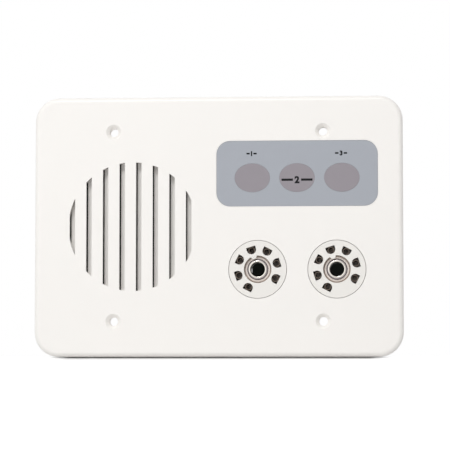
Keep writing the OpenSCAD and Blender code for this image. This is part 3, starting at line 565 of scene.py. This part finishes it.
def station_finishes(tints, axis):
    """Every finish by the name of its slot. axis is the speaker's, in metres."""
    return {
        # ABS, moulded in a spark-eroded tool: a soft even white with a grain of about 0.4 mm
        "moulded_white": surface("moulded_abs", tints.plate, 30, 0.006, 0.6, 0.006, 0.42, 0.06, IOR=1.54),
        # Polycarbonate of the sockets, with painted shade down in their recesses, wells and grooves
        "socket_white": socket_plastic("moulded_polycarbonate", tints.socket, tints.recess, tints.groove),
        # The same plastic at the sides and the back, without the painted shade of the recess and groove:
        # even, with the same grain
        "socket_back": surface(
            "plain_polycarbonate", tints.socket, 12, 0.01, 0.5, 0.004, 0.35, 0.05, IOR=1.58),
        # Polycarbonate film, printed on its back: flat grey under a fine velvet front
        "overlay_film": surface("printed_film", tints.film, 12, 0.012, 0.25, 0.004, 0.48, 0.05, IOR=1.58),
        # Soft-coated ABS: a warm grey, duller than the film
        "key_grey": surface("coated_abs", tints.keys, 4, 0.02, 0.3, 0.006, 0.55, 0.05, IOR=1.45),
        # Glass-filled polyamide: black, with a faint bloom of fibres
        "switch_black": surface("filled_polyamide", "#1E1F22", 2, 0.2, 0.25, 0.012, 0.5, 0.08, IOR=1.53),
        # Natural polyamide: creamy and slightly waxy
        "white_nylon": surface("natural_polyamide", "#E6E0D0", 5, 0.03, 0.4, 0.006, 0.4, 0.06, IOR=1.53),
        "lamp_lens": lens("cast_epoxy_lens", "#F1EEE4"),
        # Etched fibreglass laminate: green mask over a weave of 0.5 mm, drawn at 0.8 mm
        "board_green": woven(
            "fibreglass_laminate", tints.board, 0.8, 0.2, 0.5, 0.006, 0.32, IOR=1.55, Coat_Weight=0.4),
        # Coloured polyamide: satin green with a moulded grain
        "terminal_green": surface(
            "coloured_polyamide", tints.block, 6, 0.05, 0.4, 0.01, 0.42, 0.08, IOR=1.53),
        # Polyester case: even blue, half matt
        "relay_blue": surface("moulded_polyester", tints.relay, 8, 0.05, 0.35, 0.01, 0.36, 0.06, IOR=1.57),
        # Heat-shrunk sleeve: dark, smooth and glossy, with slack ripples 2 mm apart
        "capacitor_sleeve": surface("shrunk_sleeve", "#20232E", 5, 0.1, 2.0, 0.03, 0.25, 0.05, IOR=1.54),
        # Transfer-moulded epoxy: charcoal, matt, with a filler grain of 0.1 mm drawn at 0.2 mm
        "chip_epoxy": surface("moulded_epoxy", "#1B1C1E", 1.5, 0.15, 0.2, 0.008, 0.6, 0.08, IOR=1.55),
        "phenolic_board": laminate("phenolic_paper", "#6B4422"),
        # Extruded PVC: even and half glossy
        "red_pvc": surface("red_pvc_sleeve", tints.red_lead, 3, 0.06, 0.5, 0.008, 0.36, 0.05, IOR=1.53),
        "black_pvc": surface("black_pvc_sleeve", tints.black_lead, 3, 0.1, 0.5, 0.008, 0.36, 0.05, IOR=1.53),
        # Nickel plate on turned brass: bright and a little warm, with turning marks 0.1 mm apart
        "nickel_plate": surface("nickel_plate", "#D3CEC6", 3, 0.05, 0.25, 0.003, 0.2, 0.06, 1.0, (1, 4, 1)),
        # The same plate, greyer and duller as painted shade, on the sleeve below its lip
        "dull_nickel": surface(
            "dull_nickel_plate", "#A09A9C", 2, 0.1, 0.3, 0.005, 0.36, 0.08, 1.0, (1, 4, 1)),
        # Brass that the plate doesn't reach: dark brown, oxidised and dull
        "bore_brown": surface("oxidised_brass", "#2B2723", 1.5, 0.3, 0.3, 0.01, 0.6, 0.1, 1.0),
        # Phosphor bronze strip, aged: dark brown, dull in patches
        "contact_bronze": surface(
            "aged_bronze_strip", "#6E635A", 1.2, 0.35, 0.3, 0.008, 0.4, 0.1, 1.0, (1, 3, 1)),
        # Vulcanised fibre: black, matt, with a faint felted grain. It colours the card and the ring in each
        # jack that are put there as painted shade
        "fibre_black": surface("vulcanised_fibre", "#0E0F11", 3, 0.2, 0.5, 0.01, 0.6, 0.08, IOR=1.5),
        "zinc_steel": zinc("passivated_zinc", "#A9B0B8", "#CFC9B4"),
        # Pressed steel, plated: grey, with draw marks along the pressing
        "basket_steel": surface("pressed_steel", "#A4A6A8", 6, 0.12, 0.5, 0.008, 0.34, 0.08, 1.0, (1, 3, 1)),
        # Enamelled copper wire, 0.2 mm thick: close turns along the coil, drawn at 0.35 mm
        "copper_winding": ringed(
            "enamelled_wire", "#C0733A", 0.35, axis, 0.5, 0.05, 0.28, kind="BANDS", Metallic=1.0),
        # Sintered ferrite: dark grey and matt, with a ground grain of 0.2 mm drawn at 0.3 mm
        "ferrite": surface("sintered_ferrite", "#3A3B3E", 2, 0.18, 0.3, 0.02, 0.62, 0.1, IOR=2.0),
        "foam_black": foam("closed_cell_foam", "#242426"),
        # Doped cloth of the surround: black, rubbery, half matt
        "surround_black": surface("doped_surround", "#161618", 2, 0.2, 0.35, 0.02, 0.55, 0.08, IOR=1.5),
        # Pressed paper pulp: matt and fibrous, with pressed rings 1.5 mm apart
        "cone_paper": ringed("pressed_paper", tints.cone, 1.5, axis, 0.5, 0.06, 0.86, IOR=1.45),
        # Resin-treated cotton: an open plain weave of 0.45 mm threads, drawn at 0.7 mm
        "spider_cloth": woven("treated_cotton", "#A98A4E", 0.7, 0.45, 0.2, 0.05, 0.8, Sheen_Weight=0.2),
        # Screen-printed ink: dead black and matt, with pinholes of 0.1 mm
        "ink": surface(
            "screen_ink", tints.ink, 1, 0.2, 0.1, 0.004, 0.7, 0.05, IOR=1.5, Specular_IOR_Level=0.2),
        # White board ink: matt and slightly thin
        "board_ink": surface("board_ink", "#DDE3DC", 0.8, 0.08, 0.15, 0.01, 0.7, 0.05, IOR=1.5),
        # Tin solder: bright, rounded, frosted in patches
        "solder": surface("reflowed_solder", "#C3C5C6", 0.8, 0.12, 0.3, 0.02, 0.24, 0.1, 1.0),
        # Copper track under solder mask: the mask's green, lighter over the copper
        "track": surface("masked_copper", "#3C8455", 1.5, 0.1, 0.4, 0.006, 0.3, 0.05, IOR=1.55),
        # Aluminium can, drawn: pale grey and satin
        "can": surface("drawn_aluminium", "#BFC1C4", 2, 0.06, 0.2, 0.006, 0.34, 0.06, 1.0),
        # Cured adhesive: dark brown and glossy, run out of the joint
        "glue": surface("cured_adhesive", "#2B211A", 1, 0.25, 0.8, 0.05, 0.22, 0.08, IOR=1.55),
    }


class STATION_OT_finishes(bpy.types.Operator):
    """Make the finishes and give each packed solid its own"""
    bl_idname = "station.finishes"
    bl_label = "Finishes"

    def execute(self, context):
        axis = sizes_of("speaker_magnet")[2] * MM
        FINISHES.update(station_finishes(context.scene.station_colours, axis))
        # The slot that the packed record names for a solid is the name of its finish
        for node, name in SLOTS.items():
            for held in frame["nodes"][node].material_slots:
                held.material = FINISHES[name]
        return {"FINISHED"}


class STATION_OT_plate(bpy.types.Operator):
    """Round the edges of the face plate, its guard and its overlay"""
    bl_idname = "station.plate"
    bl_label = "Face plate"

    def execute(self, context):
        sizes = context.scene.station_sizes
        dress("face_plate", "plate_shell", sizes.plate_edge)
        dress("grille_guard", "guard_grid", sizes.plate_edge * 0.6)
        dress("overlay", "overlay_sheet", sizes.film_edge)
        ejector_marks()
        return {"FINISHED"}


def ejector_marks():
    """The faint discs that the mould's ejector pins leave on the back of the plate."""
    high, skin = sizes_of("face_plate")[1], sizes_of("grille_guard")[1].z
    mark = turned([(2.5, skin + 0.05), (2.5, skin - 0.05), (2.4, skin - 0.08)])
    # Three stand near each side, clear of the corners, and four along the top and the bottom
    margin, corner = 9, 8
    x, y = high.x - margin, high.y - margin
    places = [(side * x, level, 0, 0) for side in (-1, 1) for level in (corner - y, 0, y - corner)]
    places += [(side * x / 3, level, 0, 0) for side in (-1, 1) for level in (-y, y)]
    place_piece(repeat(mark, places), "ejector_marks", "moulded_white")


class STATION_OT_keys(bpy.types.Operator):
    """Round the keys and their plungers, and print the marks"""
    bl_idname = "station.keys"
    bl_label = "Keys"

    def execute(self, context):
        sizes = context.scene.station_sizes
        for node in KEYS:
            dress(node, node + "_cap", sizes.key_edge, 3)
        for side in ("left", "middle", "right"):
            dress("plunger_" + side, "plunger_" + side + "_pin", sizes.metal_edge * 2)
        film, key = sizes_of("overlay")[1], sizes_of("cancel_key")
        key_webs(film.z, sizes.web_w / MM)
        # The outer marks stand a little over a third of the way from the keys' flanges to the film's edge,
        # and a little left of the keys' middles. The middle mark stands a little below its key's middle.
        share, left, drop = 0.37, 0.3, 0.9
        level = film.y * share + key[1].y * (1 - share)
        for number, node in ((1, "call_key_left"), (3, "call_key_right")):
            sign = mark(number, sizes.mark_h / MM, 1.5, 0.7, (sizes_of(node)[2].x - left, level, film.z))
            place_piece(sign, f"mark_{number}", "ink")
        sign = mark(2, sizes.middle_mark_h / MM, 5, 1, (key[2].x, key[2].y - drop, film.z))
        place_piece(sign, "mark_2", "ink", body="cancel_key")
        return {"FINISHED"}


def key_webs(face, width):
    """A soft web of the film in the gap round each key, clear of the key's side."""
    # Its top lies just under the film's face, its foot in the gap, and its middle this far from the key
    top, foot, gap = face - 0.03, face - 0.42, 0.075
    rings = []
    for node in KEYS:
        low, high, centre = extent([point for point in solids(node)[0] if point.z > face - 0.1])
        across, up = [(high - low)[i] / 2 + gap for i in (0, 1)]
        inner, outer = up - width / 2, up + width / 2
        ring = pierce(turned([(outer, foot), (outer, top), (inner, top), (inner, foot)], sides=144))
        rings.append(put(ring, (*centre.xy, 0), scale=(across / up, 1, 1)))
    place_piece(join(*rings), "key_webs", "overlay_film")


def mark(number, height, bar, thickness, spot):
    """A plain numeral between two bars of a length and thickness, with its middle on a spot of the panel."""
    settle()
    bpy.ops.object.text_add()
    sign = bpy.context.object
    sign.data.body = str(number)
    sign.data.align_x = sign.data.align_y = "CENTER"
    # A layer of ink 0.02 mm thick, with strokes a little bolder than the font's
    ink, bold = 0.02, 0.055
    sign.data.extrude = ink / 2
    sign.data.offset = bold
    bpy.ops.object.convert(target="MESH")
    sign = bpy.context.object
    low, high, centre = extent([vertex.co for vertex in sign.data.vertices])
    share = height / (high.y - low.y)
    put(sign, -centre * share, scale=(share * MM, share * MM, MM))
    gap = 0.22 * height
    reach = (high.x - low.x) / 2 * share + gap + bar / 2
    bars = [block((bar, thickness, ink), (side * reach, 0, 0), 0.009, 1) for side in (-1, 1)]
    return put(join(sign, *bars), spot)


class STATION_OT_sockets(bpy.types.Operator):
    """Round the socket bodies and the metal of the two jacks"""
    bl_idname = "station.sockets"
    bl_label = "Cord sockets"

    def execute(self, context):
        sizes = context.scene.station_sizes
        edge = sizes.metal_edge
        for side in SIDES:
            socket_disc(side, sizes.socket_edge)
            sleeve_tube(side)
            dress("jack_nut_" + side, "ring_nut_" + side, edge * 2)
            dress("jack_frame_" + side, "jack_strap_" + side, edge)
            dress("jack_insulators_" + side, "insulator_stack_" + side, edge / 2, 1)
            dress("jack_stack_screws_" + side, "stack_screws_" + side, edge)
            # A black card behind the spring, painted shade down the bore
            insulating_card(side)
        return {"FINISHED"}


def socket_disc(side, edge):
    """The moulded body, with painted shade in its recess and wells, and plain at its sides and back."""
    obj = dress("socket_body_" + side, "socket_disc_" + side, edge)
    axis, contacts = sizes_of("jack_sleeve_" + side)[2], sizes_of("socket_contacts_" + side)
    # The contacts' wells lie between these two radii, and nothing behind the back level shows in front
    inner, outer = 6.8, (contacts[1].x - contacts[0].x) / 2 + 0.6
    skin, back = sizes_of("grille_guard")[1].z, -2.4

    def plain(spot):
        away = off_axis(spot, axis)
        return (away > outer and spot.z < skin + 0.1 or away < inner and spot.z < skin - 0.8
                or spot.z < back)

    refinish(obj, "socket_back", plain)


def sleeve_tube(side):
    """A turned sleeve with a thread behind, a domed flange and a rounded lip."""
    node = "jack_sleeve_" + side
    low, high, centre = sizes_of(node)
    rings = [(off_axis(point, centre), point.z) for point in solids(node)[0]]
    back = [radius for radius, level in rings if level < low.z + 0.01]
    tube, bore = max(back), min(back)
    foot, crown = [pick(level for radius, level in rings if radius > tube + 0.3) for pick in (min, max)]
    flange, lip = (high.x - low.x) / 2, high.z
    # Seven turns of thread, half a millimetre apart and 0.2 mm deep, behind a bevelled end
    pitch, groove, bevel = 0.5, 0.2, 0.25
    profile = [(tube - bevel, low.z), (tube, low.z + bevel)]
    for i in range(7):
        ridge = low.z + bevel + 0.05 + pitch * i
        profile += [(tube, ridge), (tube - groove, ridge + pitch / 2)]
    profile += [
        (tube, low.z + 4), (tube, foot), (flange - 0.12, foot), (flange, foot + 0.12),
        (flange - 0.02, foot + 0.24), (flange - 0.14, crown - 0.18), (flange - 0.32, crown - 0.05),
        (tube, crown), (tube, lip - 0.15), (tube - 0.04, lip - 0.04), (tube - 0.14, lip),
        (bore + 0.2, lip), (bore + 0.06, lip - 0.05), (bore, lip - 0.2), (bore, low.z)]
    piece = pierce(turned(profile, centre.xy, 64))
    # The sleeve first takes the darker copy of its plate, as painted shade
    place_piece(piece, "sleeve_tube_" + side, "dull_nickel", (node,), 30)
    # The lip gets the bright plate back, so that the darker copy stays below it as painted shade, and the
    # plate doesn't reach into the bore
    refinish(piece, "nickel_plate", lambda spot: spot.z > crown + 0.3)
    refinish(piece, "bore_brown", lambda spot: spot.z < lip - 0.08 and off_axis(spot, centre) < bore + 0.05)
    # A thin black ring at the flange's foot, put there as painted shade for the crevice between the flange
    # and the collar
    shade_washer = hoop(flange + 0.02, 0.36, (*centre.xy, foot + 0.06), 0.5)
    place_piece(shade_washer, "washer_" + side, "fibre_black", smooth=60)


def insulating_card(side):
    """A card of black fibre that is clamped on the jack's stack and folded up behind the spring, put there as
    painted shade so that the view down the jack's bore stays dark.
    """
    low, high, centre = sizes_of("jack_insulators_" + side)
    top, thick = sizes_of("jack_frame_" + side)[1].y, 0.25
    settle()
    bpy.ops.mesh.primitive_plane_add(
        size=1, rotation=UPRIGHT, location=Vector((centre.x, high.y + thick / 2, centre.z + 0.3)) * MM)
    obj = bpy.context.object
    obj.scale = ((high.x - low.x) * MM, (high.z - low.z - 1) * MM, 1)
    applied(obj)
    choose(obj, "edges", lambda edge: max(vertex.co.z for vertex in edge.verts) < centre.z * MM)
    # Steps up and out of the wall, and the width that each leaves: the fold, the neck and the shoulders
    for y, z, share in ((0.05, -0.2, 1), (0.15, -0.15, 1), (0.2, -0.05, 1), (1.2, 0, 1), (1, 0, 1.8)):
        pull(0, y, z)
        bpy.ops.transform.resize(value=(share, 1, 1), center_override=(centre.x * MM, 0, 0))
    # The flap ends level with the frame's top: the steps above it rise 2.6 mm
    pull(0, top - high.y - thick / 2 - 2.6, 0)
    modify(obj, "SOLIDIFY", thickness=thick * MM, offset=0)
    place_piece(obj, "insulating_card_" + side, "fibre_black")


class STATION_OT_speaker(bpy.types.Operator):
    """Round the speaker's metal, run the adhesive round its joints and part its surround"""
    bl_idname = "station.speaker"
    bl_label = "Speaker"

    def execute(self, context):
        edge = context.scene.station_sizes.metal_edge
        dress("speaker_basket", "basket_pressing", edge)
        dress("speaker_top_plate", "pole_plate", edge * 2)
        dress("speaker_magnet", "magnet_ring", edge * 3)
        dress("speaker_yoke", "yoke_plate", edge * 3)
        dress("speaker_clamps", "flange_clamps", edge)
        dress("speaker_terminal_strip", "tag_strip", edge / 2, 1)
        low, high, centre = sizes_of("speaker_magnet")
        radius = sizes_of("speaker_top_plate")[1].x - centre.x
        beads = [hoop(radius, 0.5, (*centre.xy, level)) for level in (low.z - 0.05, high.z + 0.05)]
        place_piece(join(*beads), "magnet_adhesive", "glue")
        surround_rings(edge / 2)
        return {"FINISHED"}


def surround_rings(edge):
    """The surround in two rings that meet where its roll is deepest. The inner one is taken off its body."""
    node = "speaker_surround"
    low, high, centre = sizes_of(node)
    lowest = [off_axis(point, centre) for point in solids(node)[0] if point.z < low.z + 0.02]
    seam = sum(lowest) / len(lowest)
    # The cutting tools reach a millimetre past the surround on every side
    back, front, rim = low.z - 1, high.z + 1, high.x - centre.x + 1
    outer = dress(node, "surround_rim", edge, 1)
    cut(outer, stand(turned([(seam, back), (seam, front)], centre.xy, 96)))
    inner = dress(node, "surround_roll", edge, 1)
    tool = turned([(rim, back), (rim, front), (seam, front), (seam, back)], centre.xy, 96)
    cut(inner, stand(pierce(tool)))
    # The inner ring is taken off its body, with its place written into its mesh
    inner.parent = None
    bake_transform(inner)


class STATION_OT_board(bpy.types.Operator):
    """Round the board's parts and add its tracks, legs and solder"""
    bl_idname = "station.board"
    bl_label = "Circuit board"

    def execute(self, context):
        sizes = context.scene.station_sizes
        edge = sizes.metal_edge
        dress("main_board", "board_panel", edge, 1)
        dress("relay", "relay_case", edge * 5, 3)
        dress("terminal_block", "block_body", edge * 2)
        dress("speaker_header", "header_shroud", edge * 2)
        dress("speaker_plug", "plug_shell", edge * 3)
        dress("switch_housings", "switch_cases", edge * 2)
        dress("chips", "chip_cases", edge * 2)
        dress("resistors", "resistor_bodies", edge)
        screw_slots(edge)
        relay_vent()
        back = sizes_of("main_board")[0].z
        chip_legs(back)
        resistor_ends()
        cans(back)
        solder_joints(back)
        copper_tracks(back, sizes.track_w / MM)
        part_outlines(back)
        return {"FINISHED"}


def screw_slots(edge):
    """A slot across each screw of the terminal block, turned as the screws were left."""
    screws = dress("terminal_screws", "clamping_screws", edge, 1)
    heads = [extent(screw) for screw in solids("terminal_screws")]
    low, high, centre = heads[0]
    slot = block((0.7, 2 * (high.x - low.x), 1))
    places = [(spot.x, spot.y, low.z, 12 * (i % 3) - 9) for i, (_, _, spot) in enumerate(heads)]
    cut(screws, stand(repeat(slot, places)))


def relay_vent():
    """The small vent nib on the relay's case."""
    low, high, centre = sizes_of("relay")
    profile = [(0.8, low.z + 0.1), (0.8, low.z - 0.2), (0.65, low.z - 0.3), (0.3, low.z - 0.3)]
    nib = turned(profile, (high.x - 2, low.y + 2), 24)
    place_piece(nib, "relay_vent", "relay_blue")


def chip_legs(back):
    """Gull-wing legs along two sides of each chip, one leg modelled and copied, and a dot at its first."""
    leg = block((0.6, 0.36, 0.14), (0.3, 0, 0))
    choose(leg, "faces", lambda face: face.normal.x > 0.9)
    pull(0.35, 0, 0.66)
    pull(0.55, 0, 0)
    bpy.ops.mesh.select_all(action="SELECT")
    bpy.ops.mesh.bevel(offset=0.03 * MM, segments=1, affect="EDGES")
    settle(leg)
    # Legs leave the case this far over the board, and stand 1.27 mm apart, a usual pitch
    rise, pitch = 0.74, 1.27
    places, dots = [], []
    for chip in solids("chips"):
        low, high, centre = extent(chip)
        count = int((high.y - low.y - 0.8) / pitch)
        for i in range(count):
            y = centre.y + (i - (count - 1) / 2) * pitch
            places += [(high.x - 0.2, y, back - rise, 0), (low.x + 0.2, y, back - rise, 180)]
        dots.append((low.x + 1, high.y - 1, low.z, 0))
    place_piece(repeat(leg, places), "chip_legs", "solder")
    dot = turned([(0.42, 0.03), (0.42, -0.01), (0.38, -0.02)], sides=20)
    place_piece(repeat(dot, dots), "chip_dots", "board_ink")


def resistor_ends():
    """Tinned ends of the chip resistors, a little thicker than the bodies."""
    places = []
    for body in solids("resistors"):
        low, high, centre = extent(body)
        places += [(low.x + 0.2, centre.y, centre.z, 0), (high.x - 0.2, centre.y, centre.z, 0)]
    cap = block((0.6, high.y - low.y + 0.08, high.z - low.z + 0.08), edge=0.06)
    place_piece(repeat(cap, places), "resistor_ends", "solder")


def cans(back):
    """Sleeved cans with a rolled groove near the board and a scored aluminium top."""
    sleeves, tops = [], []
    for can in solids("capacitors"):
        low, high, centre = extent(can)
        r, tall = (high.x - low.x) / 2, back - low.z
        profile = [(r - 0.4, 0), (r, -0.35), (r, -1.1), (r - 0.35, -1.6), (r - 0.35, -1.9), (r, -2.4),
                   (r, -tall + 0.5), (r - 0.15, -tall + 0.15), (r - 0.5, -tall), (r - 0.75, -tall),
                   (r - 0.8, -tall + 0.15)]
        sleeves.append(turned([(radius, back + level) for radius, level in profile], centre.xy, 56))
        profile = [(r - 0.72, low.z + 0.5), (r - 0.72, low.z + 0.12), (r - 0.9, low.z + 0.04)]
        top = turned(profile, centre.xy, 40)
        for turn in (45, 135):
            cut(top, put(block((2 * r - 3, 0.22, 0.2)), (*centre.xy, low.z + 0.04), turn))
        tops.append(top)
    place_piece(join(*sleeves), "can_sleeves", "capacitor_sleeve",
                ("capacitors",), 50)
    place_piece(join(*tops), "can_tops", "can")


def solder_joints(back):
    """Solder where the contacts' tails and the legs of switches and lamps come through the board."""
    spots = [tail.xy for tail in contact_tails()]
    # The legs of each part, from its middle
    for node, legs in (
            ("switch_housings", [(x, y) for x in (-3.25, 3.25) for y in (-2.25, 2.25)]),
            ("key_lamps", [(0, -1.27), (0, 1.27)])):
        for part in solids(node):
            spots += [extent(part)[2].xy + Vector(leg) for leg in legs]
    dome = turned([(0.95, 0.02), (0.95, -0.04), (0.7, -0.22), (0.5, -0.5), (0.42, -0.75), (0.36, -0.95),
                   (0.2, -1.02)], sides=20)
    places = [(*spot, back, 0) for spot in spots]
    place_piece(repeat(dome, places), "solder_joints", "solder", smooth=60)


def copper_tracks(back, width):
    """Copper tracks under the mask, and vias where they end."""
    paths = []
    # From each resistor down to the row of vias over the sockets, with one bend of 45 degrees
    for i, body in enumerate(solids("resistors")):
        low, high, centre = extent(body)
        left, right, side = low.x + 0.2, high.x - 0.2, 1 if i % 2 else -1
        y = centre.y - 3.2 - 0.9 * (i % 3)
        paths.append([(left, centre.y), (left, y + 1), (left + side, y), (left + side * 2.4, y)])
        paths.append([(right, centre.y), (right, centre.y + 2.1)])
    # From the terminal block's wells down between the parts
    for i, screw in enumerate(solids("terminal_screws")):
        well = extent(screw)[2]
        y = well.y - 6.5 - 0.8 * i
        paths.append([(well.x, well.y - 4.4), (well.x, y), (well.x + 1.2, y - 1.2), (well.x + 4, y - 1.2)])
    # From the contacts' tails outwards, away from the middle between the two sockets
    middle = sum(sizes_of("socket_body_" + side)[2].x for side in SIDES) / 2
    for tail in contact_tails():
        x = tail.x + (1.6 if tail.x > middle else -1.6)
        paths.append([tail.xy, (x, tail.y - 1.6), (x, tail.y - 3.4)])
    lines = [strand(path, width, 0.12, back) for path in paths]
    place_piece(join(*lines), "copper_tracks", "track")
    via = turned([(0.6, 0.02), (0.6, -0.05), (0.3, -0.05), (0.26, 0.02)], sides=16)
    spots = [(*path[-1], back, 0) for path in paths]
    place_piece(repeat(via, spots), "vias", "solder")


def part_outlines(back):
    """White outlines round the larger parts, round for the cans."""
    frames = []
    for node in ("capacitors", "relay", "terminal_block", "speaker_header"):
        for part in solids(node):
            low, high, centre = extent(part)
            x, y, X, Y = low.x - 0.9, low.y - 0.6, high.x + 0.9, high.y + 0.6
            if node == "capacitors":
                frames.append(hoop(centre.x - x, 0.2, (*centre.xy, back), 0.3))
            else:
                frames.append(strand([(x, y), (X, y), (X, Y), (x, Y)], 0.2, 0.3, back, closed=True))
    place_piece(join(*frames), "part_outlines", "board_ink")


class STATION_OT_leads(bpy.types.Operator):
    """Run the two leads from the plug to the speaker's tags"""
    bl_idname = "station.leads"
    bl_label = "Speaker leads"

    # The same routes and thickness as the solids', in millimetres in the panel frame
    routes = {
        "red": (
            (4.7, 17.3, -20.1), (4.7, 17.3, -21.1), (4.7, 17.3, -22.1), (3.5, 17.9, -25.2), (0, 19.5, -27.4),
            (-5, 21.5, -27), (-10.5, 24, -23.6), (-16, 26.4, -18), (-21, 28, -12.4), (-24.4, 28.6, -8.4),
            (-25.1, 28.6, -6), (-25.1, 28.6, -5.1), (-25.1, 28.6, -4.2)),
        "black": (
            (4.7, 14.7, -20.1), (4.7, 14.7, -21.1), (4.7, 14.7, -22.1), (3.7, 15.1, -24.4), (0.8, 16.2, -26),
            (-4, 18.2, -25.4), (-9, 20.6, -22), (-13.4, 22.8, -17), (-16.8, 24.4, -12), (-18.7, 25.1, -8.4),
            (-19.1, 25.1, -6), (-19.1, 25.1, -5.1), (-19.1, 25.1, -4.2))}
    thickness = 1.3

    def execute(self, context):
        for colour, route in self.routes.items():
            sleeve, pvc = strand(route, self.thickness, soft=True), colour + "_pvc"
            place_piece(sleeve, f"lead_{colour}_sleeve", pvc, ("lead_" + colour,), 60)
        # A blob of solder where each lead's core meets its tag
        blob = turned([(1.25, 0.05), (1.2, -0.1), (0.9, -0.35), (0.7, -0.6)], sides=24)
        places = [(*route[-1], 0) for route in self.routes.values()]
        place_piece(repeat(blob, places), "tag_solder", "solder", smooth=60)
        return {"FINISHED"}


class STATION_OT_stage(bpy.types.Operator):
    """Set the camera, the lamps and the floor"""
    bl_idname = "station.stage"
    bl_label = "Stage"

    def execute(self, context):
        scene, stage = context.scene, context.scene.station_stage
        scene.view_settings.view_transform = "Standard"
        settle()
        # The point that the camera looks at, a little right of and over the face's middle
        aim = Vector((3.13, -7, 0.46)) * MM
        away = direction(stage.azimuth, stage.elevation)
        bpy.ops.object.camera_add(location=aim + away * stage.distance)
        camera = bpy.context.object
        camera.name = "photo_camera"
        camera.rotation_euler = away.to_track_quat("Z", "Y").to_euler()
        camera.data.lens = stage.lens
        camera.data.sensor_width = 36
        camera.data.clip_start = 10 * MM
        scene.camera = camera

        # Each lamp's name, its direction from the face in degrees right and up, its distance and width
        # in metres, and its power
        for name, right, up, far, width, power in (
                ("key_lamp", -12, 43, 1.2, 0.35, stage.key_power),
                ("fill_lamp", -30, 8, 1.6, 1.3, stage.fill_power)):
            out = direction(math.radians(right), math.radians(up))
            bpy.ops.object.light_add(type="AREA", location=out * far)
            lamp = bpy.context.object
            lamp.name = name
            lamp.rotation_euler = out.to_track_quat("Z", "Y").to_euler()
            lamp.data.size = width
            lamp.data.energy = power
        scene.world = soft_box(stage.ambient)
        pale_floor()
        return {"FINISHED"}


def direction(right, up):
    """The way out of the wall, turned to the right and up by two angles."""
    return Vector((math.sin(right) * math.cos(up), -math.cos(right) * math.cos(up), math.sin(up)))


def background_rays(tree):
    """1 for the rays that show the background: from the camera, in gloss and through clear pieces."""
    rays = add(tree, "LightPath").outputs
    gloss = add(tree, "Math", {0: rays["Is Glossy Ray"], 1: rays["Is Transmission Ray"]}, operation="MAXIMUM")
    return add(tree, "Math", {0: rays["Is Camera Ray"], 1: gloss}, operation="MAXIMUM")


def soft_box(ambient):
    """A world that is white to the eye and in reflections, and gives a weaker light."""
    world = bpy.data.worlds.new("soft_box")
    world.use_nodes = True
    tree = world.node_tree
    tree.nodes.clear()
    dim, white = [
        add(tree, "Background", {"Color": (1, 1, 1, 1), "Strength": strength}) for strength in (ambient, 1.0)]
    mixed = add(tree, "MixShader", {0: background_rays(tree), 1: dim, 2: white})
    add(tree, "OutputWorld", {"Surface": mixed})
    return world


def pale_floor():
    """A floor that is level under and behind the plate, and slopes away from it towards the camera."""
    # The level part's length and width, how far it reaches in front of the wall, and the sloping part's
    # length and fall
    depth, width, ahead, front, slope = 1500, 3000, 1.5, 2000, math.radians(8)
    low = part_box("face_plate")[0]
    settle()
    bpy.ops.mesh.primitive_plane_add(size=1, location=(0, (depth / 2 - ahead) * MM, low.z))
    floor = bpy.context.object
    floor.name = "floor"
    floor.scale = (width * MM, depth * MM, 1)
    applied(floor)
    choose(floor, "edges", lambda edge: max(vertex.co.y for vertex in edge.verts) < 0)
    pull(0, -front, -front * math.tan(slope))
    settle(floor)
    floor.data.materials.append(floor_paint("pale_floor", "#DCDCDC", "#E0E0E0"))


@finish
def floor_paint(tree, place, dark, light):
    """Matt paint, drawn white to the eye but for a painted shadow: a strip along the plate's lower edge where
    the glow is left off.
    """
    clouds = add(tree, "TexNoise", {"Vector": place, "Scale": per(200)})
    spot = add(tree, "SeparateXYZ", {"Vector": place}).outputs
    # The painted shadow, where the glow is left off, fades out beside the middle, in front and behind, from
    # each first length to the second
    aside = add(tree, "Math", {0: spot["X"]}, operation="ABSOLUTE")
    clear = add(tree, "MapRange", {"Value": aside, 1: 66 * MM, 2: 74 * MM})
    for near, far in ((-8.5, -12.5), (2, 10)):
        away = add(tree, "MapRange", {"Value": spot["Y"], 1: near * MM, 2: far * MM})
        clear = add(tree, "Math", {0: clear, 1: away}, operation="MAXIMUM")
    white = add(tree, "Math", {0: background_rays(tree), 1: clear}, operation="MULTIPLY")
    # With the light that falls on it, this much glow makes it white
    glow = add(tree, "Math", {0: white, 1: 0.6}, operation="MULTIPLY")
    close(tree, clouds, dark, light, 0.8, Emission_Color=(1, 1, 1, 1), Emission_Strength=glow)


STEPS = (
    STATION_OT_stage, STATION_OT_finishes, STATION_OT_plate, STATION_OT_keys, STATION_OT_sockets,
    STATION_OT_speaker, STATION_OT_board, STATION_OT_leads)
GROUPS = {"station_colours": StationColours, "station_sizes": StationSizes, "station_stage": StationStage}


class STATION_PT_looks(bpy.types.Panel):
    """Steps, colours and sizes of the station's looks"""
    bl_idname = "STATION_PT_looks"
    bl_label = "Station"
    bl_space_type = "VIEW_3D"
    bl_region_type = "UI"
    bl_category = "Station"

    def draw(self, context):
        for step in STEPS:
            self.layout.operator(step.bl_idname)
        for name, group in GROUPS.items():
            self.layout.label(text=group.__doc__)
            for value in group.__annotations__:
                self.layout.prop(getattr(context.scene, name), value)


def register():
    for made in (*GROUPS.values(), *STEPS, STATION_PT_looks):
        bpy.utils.register_class(made)
    for name, group in GROUPS.items():
        setattr(bpy.types.Scene, name, PointerProperty(type=group))


def unregister():
    for name in GROUPS:
        delattr(bpy.types.Scene, name)
    for made in (STATION_PT_looks, *reversed(STEPS), *GROUPS.values()):
        bpy.utils.unregister_class(made)


def main():
    """Registers the add-on and runs every step in order."""
    register()
    bpy.ops.station.stage()
    bpy.ops.station.finishes()
    bpy.ops.station.plate()
    bpy.ops.station.keys()
    bpy.ops.station.sockets()
    bpy.ops.station.speaker()
    bpy.ops.station.board()
    bpy.ops.station.leads()


if __name__ == "__main__":
    main()
